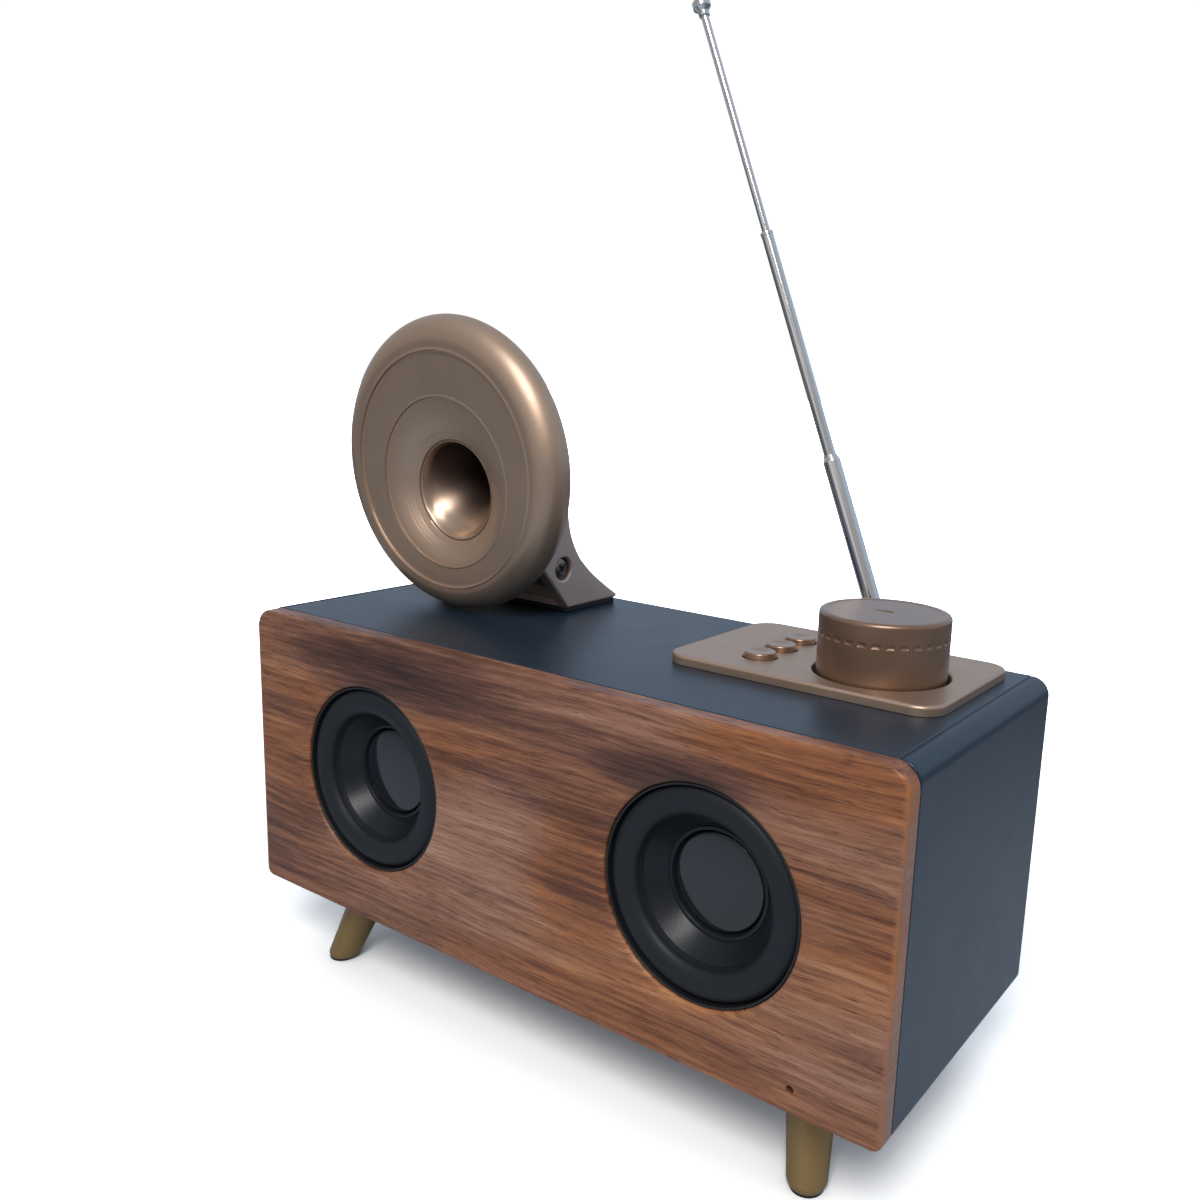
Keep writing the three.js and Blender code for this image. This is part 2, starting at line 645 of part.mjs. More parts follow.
function antennaTube() {
  const blade = box([-1.3, 1.3], [-1.7, 1.7], [0, 8]);
  const eye = rod(1.9, -1.3, 1.3, [0, 0, 0], [1, 0, 0], 16);
  const hole = rod(0.96, -4, 4, [0, 0, 0], [1, 0, 0], 12);
  const r = ANTENNA.r[0];
  const end = ANTENNA_ENDS[0];
  const tube = turned([[0, 5.4], [1.9, 5.4], [r, 7.4], [r, end - 1.5], [r - 0.4, end], [0, end]],
    [0, 0, 0], [0, 0, 1], 18);
  const bore = rod(ANTENNA.bore[0], 10, end + 5, [0, 0, 0], [0, 0, 1], 18);
  return onAntenna(cut(joined(tube, blade, eye), hole, bore));
}

function antennaMiddle() {
  const r = ANTENNA.r[1];
  const from = ANTENNA_ENDS[0] - 7;
  const end = ANTENNA_ENDS[1];
  const profile = [
    [0, from], [r, from], [r, end - 1.2], [r - 0.3, end], [ANTENNA.bore[1], end],
    [ANTENNA.bore[1], from + 2], [0, from + 2],
  ];
  return onAntenna(turned(profile, [0, 0, 0], [0, 0, 1], 18));
}

function antennaRod() {
  return onAntenna(rod(ANTENNA.r[2], ANTENNA_ENDS[1] - 7, ANTENNA_ENDS[2] - 0.05, [0, 0, 0], [0, 0, 1], 18));
}

function antennaTip() {
  const end = ANTENNA_ENDS[2];
  const profile = [
    [0, 0], [1.6, 0], [2.3, 1.3], [2.5, 2.6], [2.2, 3.9], [1.2, 4.8], [0, 5.1],
  ];
  return onAntenna(turned(profile.map(([r, h]) => [r, h + end]), [0, 0, 0], [0, 0, 1], 20));
}

// ---------------------------------------------------------------- assembly

const radio = new THREE.Group();
radio.name = 'horn_table_radio';

function place(name, geometry, look) {
  const faceted = geometry.toNonIndexed();
  faceted.translate(0, -REAR_MOST / 2, LEG_H);
  const welded = mergeVertices(faceted, 1e-5);
  welded.computeVertexNormals();
  const mesh = new THREE.Mesh(welded, new THREE.MeshStandardMaterial(look));
  mesh.name = name;
  radio.add(mesh);
}

place('front_board', frontBoard(), WOOD);
place('front_baffle', frontBaffle(), BLACK);
place('top_panel', topPanel(), VINYL);
place('bottom_panel', bottomPanel(), VINYL);
place('side_panel_left', sidePanel(-1), VINYL);
place('side_panel_right', sidePanel(1), VINYL);
place('rear_panel', rearPanel(), VINYL);
REAR_SCREWS.forEach(([x, z], i) => place(`rear_screw_${i + 1}`, rearScrew(x, z), STEEL));
place('usb_port', usbPort(), STEEL);
place('aux_jack', auxJack(), BLACK);
place('power_slider', powerSlider(), BLACK);
place('main_board', mainBoard(), BOARD_GREEN);
place('battery_cell', batteryCell(), CELL);
place('battery_holder', batteryHolder(), BLACK);

for (const back of [false, true]) {
  for (const side of [-1, 1]) {
    const where = `${back ? 'rear' : 'front'}_${side < 0 ? 'left' : 'right'}`;
    place(`leg_${where}`, leg(side, back), BRASS);
    place(`foot_pad_${where}`, footPad(side, back), RUBBER);
  }
}

for (const side of [-1, 1]) {
  const where = side < 0 ? 'left' : 'right';
  place(`driver_frame_${where}`, driverFrame(side), BLACK);
  place(`surround_${where}`, surround(side), RUBBER);
  place(`cone_${where}`, cone(side), CONE_PAPER);
  place(`dust_cap_${where}`, dustCap(side), GLOSS);
  place(`voice_coil_${where}`, voiceCoil(side), AMBER);
  place(`spider_${where}`, spider(side), AMBER);
  place(`magnet_${where}`, magnet(side), STEEL);
}

place('control_plate', controlPlate(), BRONZE);
place('knob', knob(), KNOB_BRONZE);
place('knob_shaft', knobShaft(), STEEL);
place('encoder', encoder(), STEEL);
BUTTON.y.forEach((y, i) => place(`button_${i + 1}`, button(y), KNOB_BRONZE));
place('control_board', controlBoard(), BOARD_GREEN);

place('horn_bell', bell(), BRONZE);
place('horn_arm', hornArm(), BRONZE);
place('horn_bracket', hornBracket(), BRONZE);
place('bracket_pad', bracketPad(), RUBBER);
place('pivot_bolt_left', pivotBolt(-1), STEEL);
place('pivot_bolt_right', pivotBolt(1), STEEL);

place('antenna_base', antennaBase(), BLACK);
place('antenna_knuckle', antennaKnuckle(), CHROME);
place('antenna_pin', antennaPin(), CHROME);
place('antenna_tube', antennaTube(), CHROME);
place('antenna_middle', antennaMiddle(), CHROME);
place('antenna_rod', antennaRod(), CHROME);
place('antenna_tip', antennaTip(), CHROME);

export default radio;
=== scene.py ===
"""The looks of a small retro table radio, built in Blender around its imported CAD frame.

Everything is in metres in the part's own frame: +X to the right, +Y to the back, +Z up.
Profiles and outlines are written in millimetres and scaled by MM where they become meshes.
"""
import json
import math

import bmesh
import bpy
from mathutils import Matrix, Vector
from mathutils.geometry import tessellate_polygon


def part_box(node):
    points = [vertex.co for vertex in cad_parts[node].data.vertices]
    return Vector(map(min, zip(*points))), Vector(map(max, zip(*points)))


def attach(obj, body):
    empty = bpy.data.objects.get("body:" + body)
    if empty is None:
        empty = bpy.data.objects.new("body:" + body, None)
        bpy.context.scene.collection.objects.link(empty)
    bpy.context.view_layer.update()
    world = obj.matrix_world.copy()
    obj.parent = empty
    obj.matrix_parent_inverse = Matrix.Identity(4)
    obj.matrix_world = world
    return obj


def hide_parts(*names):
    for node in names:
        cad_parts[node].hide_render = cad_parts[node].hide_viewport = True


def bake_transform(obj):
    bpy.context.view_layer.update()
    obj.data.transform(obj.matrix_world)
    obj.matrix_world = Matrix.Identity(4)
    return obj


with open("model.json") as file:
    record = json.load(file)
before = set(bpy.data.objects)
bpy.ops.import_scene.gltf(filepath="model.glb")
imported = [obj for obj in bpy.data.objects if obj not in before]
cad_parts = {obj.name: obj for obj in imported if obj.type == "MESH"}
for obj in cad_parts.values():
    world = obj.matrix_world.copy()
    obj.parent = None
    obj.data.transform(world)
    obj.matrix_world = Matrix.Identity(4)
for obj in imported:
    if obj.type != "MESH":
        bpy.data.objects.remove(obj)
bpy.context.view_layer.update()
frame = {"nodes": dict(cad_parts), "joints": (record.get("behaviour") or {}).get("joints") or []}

MM = 0.001
SIDES = {"left": -1, "right": 1}
BUTTONS = (1, 2, 3)
REAR_SCREWS = (1, 2, 3, 4)
JOINTS = {joint["name"]: joint for joint in frame["joints"]}


def middle(node):
    low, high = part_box(node)
    return (low + high) / 2


# Places taken from the frame. KNOB, PIVOT and ANTENNA_FOOT lie on the axes that their bodies turn about.
BOARD_LOW, BOARD_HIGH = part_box("front_board")
FRONT = BOARD_LOW.y
BOARD_BACK = BOARD_HIGH.y
UNDERSIDE = BOARD_LOW.z
TOP = BOARD_HIGH.z
HALF_WIDTH = BOARD_HIGH.x
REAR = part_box("rear_panel")[1].y
KNOB = Vector((middle("knob").x, middle("knob").y, TOP))
PIVOT = Vector(JOINTS["horn_tilt"]["pos_m"])
ANTENNA_FOOT = Vector(JOINTS["antenna_swing"]["pos_m"])
ANTENNA_ALONG = Vector(JOINTS["antenna_slide_lower"]["axis"]).normalized()

X, Y, Z = Vector((1, 0, 0)), Vector((0, 1, 0)), Vector((0, 0, 1))

# The horn looks forward and a little down.
LEAN = math.radians(4)
FORWARD = Vector((0, -math.cos(LEAN), -math.sin(LEAN)))
UPWARD = Vector((0, -math.sin(LEAN), math.cos(LEAN)))
BELL_MIDDLE = PIVOT + Vector((0, -17.5, 28.7)) * MM


# ---- lines

def filleted(points, steps=6, looped=False):
    """Points [a, b] or [a, b, radius]; a radius rounds that corner with an arc."""
    line = []
    for i, point in enumerate(points):
        here = Vector(point[:2])
        inner = looped or 0 < i < len(points) - 1
        if len(point) < 3 or not inner:
            line.append(here)
            continue
        before = Vector(points[i - 1][:2]) - here
        after = Vector(points[(i + 1) % len(points)][:2]) - here
        half = before.angle(after) / 2
        reach = min(point[2] / math.tan(half), 0.48 * before.length, 0.48 * after.length)
        before.normalize()
        after.normalize()
        centre = here + (before + after).normalized() * reach / math.cos(half)
        start, end = here + before * reach - centre, here + after * reach - centre
        turn = math.pi - 2 * half
        for k in range(steps + 1):
            t = k / steps
            first = math.sin((1 - t) * turn) / math.sin(turn)
            last = math.sin(t * turn) / math.sin(turn)
            line.append(centre + start * first + end * last)
    return line


def spline(points, steps=8):
    """A smooth line through points of two or three numbers."""
    spots = [Vector(point) for point in points]
    gaps = [(b - a).length for a, b in zip(spots, spots[1:])]
    slopes = [(b - a) / gap for a, b, gap in zip(spots, spots[1:], gaps)]
    tangents = [slopes[0]]
    for i in range(1, len(slopes)):
        share = gaps[i - 1] / (gaps[i - 1] + gaps[i])
        tangents.append(slopes[i - 1] * (1 - share) + slopes[i] * share)
    tangents.append(slopes[-1])
    line = [spots[0]]
    for i, gap in enumerate(gaps):
        for k in range(1, steps + 1):
            t = k / steps
            line.append(
                spots[i] * (2 * t**3 - 3 * t**2 + 1) + tangents[i] * gap * (t**3 - 2 * t**2 + t)
                + spots[i + 1] * (3 * t**2 - 2 * t**3) + tangents[i + 1] * gap * (t**3 - t**2)
            )
    return line


LEAST_CORNER = 0.01 * MM


def rounded_rectangle(x, y, radii, inset=0.0, steps=8):
    """The outline of a rectangle, inset all round, with a radius for each corner from the lower left on."""
    signs = [(-1, -1, 180), (1, -1, 270), (1, 1, 0), (-1, 1, 90)]
    points = []
    for (sx, sy, start), radius in zip(signs, radii):
        corner = max(radius - inset, LEAST_CORNER)
        cx = (x[1] - inset - corner) if sx > 0 else (x[0] + inset + corner)
        cy = (y[1] - inset - corner) if sy > 0 else (y[0] + inset + corner)
        for k in range(steps + 1):
            angle = math.radians(start + 90 * k / steps)
            points.append((cx + corner * math.cos(angle), cy + corner * math.sin(angle)))
    return points


def rectangle_edge(x, y, radii, steps=8):
    return lambda inset: rounded_rectangle(x, y, radii, inset, steps)


def turns(count):
    """Equal steps round a circle."""
    return [2 * math.pi * k / count for k in range(count)]


def circle_edge(x, y, radius, count=96, flare=1.0):
    """The edge of a round hole. Its rounded rim is flare times as wide as it is deep."""
    def edge(inset):
        wide = radius + inset * flare
        return [(x + wide * math.cos(a), y + wide * math.sin(a)) for a in turns(count)]
    return edge


def hole_at(node, upward, radius, count, flare=1.0):
    """The edge of a round hole at a CAD node, in a plate along X and another axis: 1 is Y and 2 is Z."""
    spot = middle(node)
    return circle_edge(spot.x, spot[upward], radius, count, flare)


def slot_edge(x, y, radius):
    """The edge of a rectangular hole with rounded corners."""
    return lambda inset: rounded_rectangle(x, y, [radius] * 4, -inset, 4)


# ---- meshes

def added(name, data):
    made = bpy.data.objects.new(name, data)
    bpy.context.scene.collection.objects.link(made)
    return made


def piece(name, vertices, faces, look, angle=35, weighted=False):
    mesh = bpy.data.meshes.new(name)
    mesh.from_pydata([tuple(v) for v in vertices], [], faces)
    made = added(name, mesh)
    mesh.materials.append(look)
    clean(made, angle, weighted)
    return made


def clean(made, angle=35, weighted=False):
    """Welds a mesh, turns its faces out and shades it smooth between its sharp edges."""
    shape = bmesh.new()
    shape.from_mesh(made.data)
    bmesh.ops.remove_doubles(shape, verts=shape.verts, dist=1e-7)
    bmesh.ops.dissolve_degenerate(shape, edges=shape.edges, dist=1e-7)
    bmesh.ops.recalc_face_normals(shape, faces=shape.faces)
    shape.to_mesh(made.data)
    shape.free()
    made.data.shade_smooth()
    made.data.set_sharp_from_angle(angle=math.radians(angle))
    if weighted:
        normals = made.modifiers.new("normals", "WEIGHTED_NORMAL")
        normals.keep_sharp = True
        normals.weight = 90
    return made


def loft(rings, looped=False):
    """Vertices and faces over rings of points; a ring of one point closes an end."""
    vertices, faces, starts = [], [], []
    for ring in rings:
        starts.append(len(vertices))
        vertices.extend(ring)
    for i in range(len(rings) if looped else len(rings) - 1):
        j = (i + 1) % len(rings)
        a, b = starts[i], starts[j]
        wide = max(len(rings[i]), len(rings[j]))
        for k in range(wide):
            n = (k + 1) % wide
            if len(rings[i]) == 1:
                faces.append((a, b + n, b + k))
            elif len(rings[j]) == 1:
                faces.append((a + k, a + n, b))
            else:
                faces.append((a + k, a + n, b + n, b + k))
    return vertices, faces


def circle(centre, u, v, radius, count):
    if radius < 1e-9:
        return [centre]
    return [centre + u * radius * math.cos(a) + v * radius * math.sin(a) for a in turns(count)]


def across(axis):
    """Two directions square to an axis."""
    u = (X if abs(axis.z) > 0.9 else Z).cross(axis).normalized()
    return u, axis.cross(u)


def lathe(name, profile, base, axis, look, count=96, looped=False, angle=35):
    """Turns a profile of [radius, height] in millimetres round an axis through base."""
    axis = Vector(axis).normalized()
    u, v = across(axis)
    rings = [circle(base + axis * h * MM, u, v, r * MM, count) for r, h in profile]
    return piece(name, *loft(rings, looped), look, angle)


def facing_front(u, v, w):
    return Vector((u, w, v))


def facing_up(u, v, w):
    return Vector((u, v, w))


def facing_side(u, v, w):
    return Vector((w, u, v))


def plate(name, edges, span, rounding, look, facing, back_rounding=None, steps=4):
    """A flat plate between two depths. The first edge is its outline and the others are holes.
    rounding is the radius of the rims at the first depth, back_rounding at the second."""
    back_rounding = rounding if back_rounding is None else back_rounding
    inward = 1 if span[1] > span[0] else -1
    angles = [math.pi / 2 * k / steps for k in range(steps + 1)]
    quarter = [(1 - math.sin(angle), 1 - math.cos(angle)) for angle in angles]
    levels = [(rounding * out, span[0] + inward * rounding * deep) for out, deep in quarter]
    quarter.reverse()
    levels += [(back_rounding * out, span[1] - inward * back_rounding * deep) for out, deep in quarter]
    vertices, faces, caps = [], [], [[], []]
    for edge in edges:
        rings = [[facing(u, v, depth) for u, v in edge(inset)] for inset, depth in levels]
        offset = len(vertices)
        ring_vertices, ring_faces = loft(rings)
        vertices.extend(ring_vertices)
        faces.extend(tuple(i + offset for i in face) for face in ring_faces)
        count = len(rings[0])
        caps[0].append((edge(levels[0][0]), offset))
        caps[1].append((edge(levels[-1][0]), offset + count * (len(levels) - 1)))
    for cap in caps:
        outlines = [[Vector((u, v, 0)) for u, v in outline] for outline, _ in cap]
        index = [offset + k for outline, offset in cap for k in range(len(outline))]
        faces.extend(tuple(index[i] for i in triangle) for triangle in tessellate_polygon(outlines))
    return piece(name, vertices, faces, look, 40, weighted=True)


def combined(made, others, operation="UNION"):
    """Joins or cuts a mesh with others, which are used up. It loses its modifiers."""
    for other in others:
        made.modifiers.clear()
        boolean = made.modifiers.new("boolean", "BOOLEAN")
        boolean.operation = operation
        boolean.solver = "EXACT"
        boolean.object = other
        bpy.context.view_layer.update()
        evaluated = made.evaluated_get(bpy.context.evaluated_depsgraph_get())
        result = bpy.data.meshes.new_from_object(evaluated)
        made.modifiers.clear()
        made.data = result
        bpy.data.objects.remove(other)
    return made


def softened(made, width, segments=3, angle=35):
    """Rounds the sharp edges of a finished mesh."""
    made.modifiers.clear()
    bevel = made.modifiers.new("bevel", "BEVEL")
    bevel.width = width
    bevel.segments = segments
    bevel.limit_method = "ANGLE"
    bevel.angle_limit = math.radians(angle)
    made.modifiers.new("normals", "WEIGHTED_NORMAL").keep_sharp = True
    return made


def refined(name, node, look, width, segments=2):
    """A copy of a CAD node with merged faces and broken edges, which replaces it."""
    mesh = frame["nodes"][node].data.copy()
    mesh.materials.clear()
    mesh.materials.append(look)
    made = added(name, mesh)
    shape = bmesh.new()
    shape.from_mesh(mesh)
    bmesh.ops.remove_doubles(shape, verts=shape.verts, dist=1e-6)
    bmesh.ops.dissolve_limit(
        shape, angle_limit=math.radians(1), verts=shape.verts, edges=shape.edges, delimit=set())
    shape.to_mesh(mesh)
    shape.free()
    mesh.shade_smooth()
    mesh.set_sharp_from_angle(angle=math.radians(35))
    return softened(made, width, segments)


def settled(made, body, slot, *nodes):
    """Says which body a piece rides on and the CAD nodes it stands for. Its slot argument, a material slot
    name, is not used.
    """
    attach(made, body)
    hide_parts(*nodes)
    return made


# ---- materials

class Nodes:
    """Short calls for the nodes of a material or of the world."""

    def __init__(self, tree):
        self.tree = tree

    def node(self, kind, inputs=None, **settings):
        made = self.tree.nodes.new("ShaderNode" + kind)
        for key, value in settings.items():
            setattr(made, key, value)
        for key, value in (inputs or {}).items():
            if isinstance(value, bpy.types.NodeSocket):
                self.tree.links.new(value, made.inputs[key])
            else:
                made.inputs[key].default_value = value
        return made

    def place(self):
        return self.node("TexCoord").outputs["Object"]

    def stretched(self, vector, scale, shift=(0, 0, 0)):
        return self.node("Mapping", {"Vector": vector, "Scale": scale, "Location": shift}).outputs[0]

    def noise(self, vector, scale=1.0, detail=4.0, roughness=0.5):
        inputs = {"Vector": vector, "Scale": scale, "Detail": detail, "Roughness": roughness}
        return self.node("TexNoise", inputs).outputs["Fac"]

    def cells(self, vector, scale, feature="F1"):
        cells = self.node("TexVoronoi", {"Vector": vector, "Scale": scale}, feature=feature)
        return cells.outputs["Distance"]

    def sum(self, *terms):
        total = terms[0]
        for term in terms[1:]:
            total = self.node("Math", {0: total, 1: term}, operation="ADD").outputs[0]
        return total

    def times(self, a, b):
        return self.node("Math", {0: a, 1: b}, operation="MULTIPLY").outputs[0]

    def levels(self, value, low, high, to_low=0.0, to_high=1.0, smooth=False):
        inputs = {"Value": value, "From Min": low, "From Max": high, "To Min": to_low, "To Max": to_high}
        kind = "SMOOTHSTEP" if smooth else "LINEAR"
        return self.node("MapRange", inputs, interpolation_type=kind).outputs[0]

    def ramp(self, value, stops):
        made = self.node("ValToRGB", {"Fac": value})
        while len(made.color_ramp.elements) < len(stops):
            made.color_ramp.elements.new(0.5)
        for element, (spot, colour) in zip(made.color_ramp.elements, stops):
            element.position = spot
            element.color = (*colour, 1)
        return made.outputs["Color"]

    def mixed(self, share, a, b, kind="MIX"):
        colours = [value if isinstance(value, bpy.types.NodeSocket) else (*value, 1) for value in (a, b)]
        inputs = {0: share, 6: colours[0], 7: colours[1]}
        return self.node("Mix", inputs, data_type="RGBA", blend_type=kind).outputs[2]

    def axes(self, vector):
        return self.node("SeparateXYZ", {0: vector}).outputs

    def length(self, vector):
        return self.node("VectorMath", {0: vector}, operation="LENGTH").outputs["Value"]

    def rest(self, share):
        """One minus a share."""
        return self.levels(share, 0, 1, 1, 0)

    def end_in(self, others, seen):
        """Ends the tree in one shader for the camera and another for all other rays."""
        path = self.node("LightPath").outputs["Is Camera Ray"]
        choice = self.node("MixShader", {0: path, 1: others, 2: seen}).outputs[0]
        output = next(n for n in self.tree.nodes if n.type.startswith("OUTPUT"))
        self.tree.links.new(choice, output.inputs["Surface"])


class Look(Nodes):
    """A material round one Principled shader."""

    def __init__(self, name, **constants):
        self.material = bpy.data.materials.new(name)
        self.material.use_nodes = True
        super().__init__(self.material.node_tree)
        self.shader = next(n for n in self.tree.nodes if n.type == "BSDF_PRINCIPLED")
        for socket, value in constants.items():
            self.shader.inputs[socket.replace("_", " ")].default_value = value

    def feed(self, socket, value):
        self.tree.links.new(value, self.shader.inputs[socket])

    def bump(self, height, distance, strength=1.0):
        inputs = {"Height": height, "Distance": distance, "Strength": strength}
        self.feed("Normal", self.node("Bump", inputs).outputs["Normal"])


def wood(name, dark, middle_tone, light, pale):
    """Lacquered veneer with its grain along X: broad bands, wavy streaks, fine fibres and open pores.
    A few soft patches make it darker, warmer or paler; the paler patch low on the board is painted light,
    standing in for light bounced up from the floor.
    At the rounded ends the grain is calm and the tone is painted pale, a painted highlight."""
    look = Look(name, IOR=1.45, Coat_Weight=0.12, Coat_Roughness=0.16)
    place = look.place()
    swell = look.noise(look.stretched(place, (9, 20, 24)), detail=2)
    ripple = look.noise(look.stretched(place, (48, 20, 120)), detail=2)
    rise = look.sum(look.levels(swell, 0, 1, -0.003, 0.003), look.levels(ripple, 0, 1, -0.0004, 0.0004))
    lift = look.node("CombineXYZ", {2: rise}).outputs[0]
    bent = look.node("VectorMath", {0: place, 1: lift}, operation="ADD").outputs[0]
    bands = look.noise(look.stretched(bent, (6, 60, 70)), detail=3, roughness=0.55)
    streaks = look.noise(look.stretched(bent, (28, 150, 640)), detail=5, roughness=0.65)
    fibres = look.noise(look.stretched(bent, (110, 600, 2300)), detail=3, roughness=0.6)
    pores = look.noise(look.stretched(bent, (190, 900, 2600), (3, 7, 1)), detail=2)

    def patch(x, z, wide, high):
        near = look.stretched(bent, (1 / wide, 0, 1 / high), (-x / wide, 0, -z / high))
        return look.levels(look.length(near), 1.0, 0.2, smooth=True)

    # Darker patches near the top of the board.
    darker_near_top = look.sum(patch(-0.045, TOP - 0.008, 0.062, 0.012), patch(0.045, TOP - 0.016, 0.03, 0.008))
    glow = look.sum(patch(0.018, TOP - 0.045, 0.022, 0.022), patch(0.08, TOP - 0.004, 0.05, 0.009),
                    patch(-0.085, TOP - 0.05, 0.02, 0.02))
    # Paler patches: the one low on the board is painted light, for light bounced up from the floor.
    paler_with_painted_bounce = look.sum(patch(-0.03, UNDERSIDE + 0.018, 0.075, 0.022),
                        patch(-0.005, TOP - 0.038, 0.034, 0.016))
    tone = look.sum(
        look.times(bands, 0.85), look.times(streaks, 0.85), look.times(fibres, 0.5), -0.54,
        look.times(darker_near_top, -0.34), look.times(glow, -0.18), look.times(paler_with_painted_bounce, 0.12))
    # Painted highlight: the rounded ends are painted paler, standing in for the light on their rounded
    # faces; their grain bump is also calmed.
    from_middle = look.node("Math", {0: look.axes(place)["X"]}, operation="ABSOLUTE").outputs[0]
    last = (HALF_WIDTH - 1.6 * MM, HALF_WIDTH - 0.2 * MM)
    highlit_rounded_end = look.levels(from_middle, *last, 0.0, 0.85, smooth=True)
    tone = look.sum(look.times(tone, look.rest(highlit_rounded_end)), look.times(highlit_rounded_end, 0.66))
    base = look.ramp(tone, [(0.12, dark), (0.4, middle_tone), (0.62, light), (0.9, pale)])
    warmth = look.noise(look.stretched(bent, (8, 60, 45), (2, 5, 3)), detail=2)
    amber = look.mixed(1.0, base, (1.18, 0.93, 0.62), "MULTIPLY")
    rose = look.mixed(1.0, base, (0.96, 0.94, 1.04), "MULTIPLY")
    lean = look.sum(warmth, look.times(glow, 0.3), look.times(paler_with_painted_bounce, -0.2), look.times(darker_near_top, -0.15))
    hued = look.mixed(look.levels(lean, 0.38, 0.64, smooth=True), rose, amber)
    pore = look.levels(pores, 0.60, 0.70)
    look.feed("Base Color", look.mixed(look.times(pore, 0.6), hued, dark))
    look.feed("Roughness", look.levels(streaks, 0.3, 0.7, 0.52, 0.38))
    relief = look.sum(look.times(fibres, 0.5), look.times(pore, -0.9), look.times(streaks, 0.4))
    look.bump(look.times(relief, look.rest(highlit_rounded_end)), 0.00004, 0.6)
    return look.material


def satin(name, colour, glow, roughness, grain=2600.0, relief=0.00002, **constants):
    """A satin surface with faint cloudy colour, fine grain and handling marks in its gloss."""
    look = Look(name, **constants)
    place = look.place()
    clouds = look.noise(place, 45, 4)
    look.feed("Base Color", look.mixed(clouds, colour, glow))
    marks = look.noise(look.stretched(place, (1, 1.4, 0.8)), 70, 6, 0.65)
    look.feed("Roughness", look.levels(marks, 0.3, 0.7, roughness - 0.05, roughness + 0.06))
    look.bump(look.noise(place, grain, 2), relief, 0.6)
    return look.material


def leatherette(name, colour, glow):
    """Dark satin vinyl with a very fine pebbled grain."""
    look = Look(name, IOR=1.5, Specular_Tint=(0.62, 0.84, 1.0, 1))
    place = look.place()
    clouds = look.noise(place, 30, 5, 0.6)
    look.feed("Base Color", look.mixed(clouds, colour, glow))
    marks = look.noise(place, 60, 6, 0.65)
    look.feed("Roughness", look.levels(marks, 0.3, 0.7, 0.33, 0.38))
    pebbles = look.cells(place, 2400, "SMOOTH_F1")
    fine = look.noise(place, 5200, 2)
    look.bump(look.sum(pebbles, look.times(fine, 0.4)), 0.00003, 0.35)
    return look.material


def turned_metal(name, colour, glow, roughness, centre):
    """Satin anodised metal with fine turning rings round a vertical axis on its flat faces."""
    look = Look(name, Metallic=0.75, Coat_Weight=0.5, Coat_Roughness=0.35)
    place = look.place()
    clouds = look.noise(place, 60, 4)
    look.feed("Base Color", look.mixed(clouds, colour, glow))
    x, y, _ = look.axes(place)
    dx, dy = look.sum(x, -centre.x), look.sum(y, -centre.y)
    squares = look.sum(look.times(dx, dx), look.times(dy, dy))
    distance = look.node("Math", {0: squares, 1: 0.5}, operation="POWER").outputs[0]
    line = look.node("CombineXYZ", {0: distance}).outputs[0]
    rings = look.noise(line, 3800, 3, 0.7)
    look.feed("Roughness", look.levels(rings, 0.25, 0.75, roughness - 0.06, roughness + 0.07))
    look.bump(look.sum(rings, look.times(look.noise(place, 5000, 2), 0.5)), 0.000004, 0.6)
    return look.material


def painted_shade_throat_metal(name, colour, glow, deep):
    """The bell's satin metal with painted shade: it darkens towards the top of its throat and inwards,
    standing in for the shade and dark reflections inside the throat.
    """
    look = Look(name, Metallic=0.85)
    place = look.place()
    from_rim = look.node("VectorMath", {0: place, 1: BELL_MIDDLE}, operation="SUBTRACT").outputs[0]

    def along(way):
        return look.node("VectorMath", {0: from_rim, 1: way}, operation="DOT_PRODUCT").outputs["Value"]

    inwards = look.times(along(FORWARD), -1)
    depth = look.sum(inwards, look.times(along(UPWARD), 0.6), 0.0096)
    # Painted shade: this mask darkens the colour towards the top of the throat and inwards.
    shade = look.levels(depth, 0.002, 0.0135, smooth=True)
    shade = look.times(shade, look.levels(inwards, 0.0003, 0.0022, smooth=True))
    clouds = look.noise(place, 45, 4)
    look.feed("Base Color", look.mixed(shade, look.mixed(clouds, colour, glow), deep))
    look.feed("Roughness", look.levels(shade, 0, 1, 0.3, 0.5))
    look.bump(look.noise(place, 2600.0, 2), 0.00002, 0.6)
    return look.material


def circuit(name, mask, copper):
    """Green solder mask with straight traces and pads under it."""
    look = Look(name, Roughness=0.35)
    place = look.place()
    bricks = look.node("TexBrick", {"Vector": look.stretched(place, (1, 1, 1)), "Scale": 260.0,
                                    "Mortar Size": 0.03, "Color1": (0, 0, 0, 1), "Color2": (0, 0, 0, 1),
                                    "Mortar": (1, 1, 1, 1)}).outputs["Color"]
    pads = look.levels(look.cells(place, 420), 0.12, 0.16, 1, 0)
    share = look.times(look.sum(bricks, pads), 0.5)
    look.feed("Base Color", look.mixed(share, mask, copper))
    look.bump(share, 0.00004, 0.6)
    return look.material


def woven(name, colour, thread):
    """Resin-stiffened cloth."""
    look = Look(name, Roughness=0.8)
    place = look.place()
    warp = look.node("TexWave", {"Vector": place, "Scale": 900.0}, bands_direction="X").outputs["Fac"]
    weft = look.node("TexWave", {"Vector": place, "Scale": 900.0}, bands_direction="Z").outputs["Fac"]
    weave = look.times(warp, weft)
    look.feed("Base Color", look.mixed(weave, colour, thread))
    look.bump(weave, 0.00008)
    return look.material


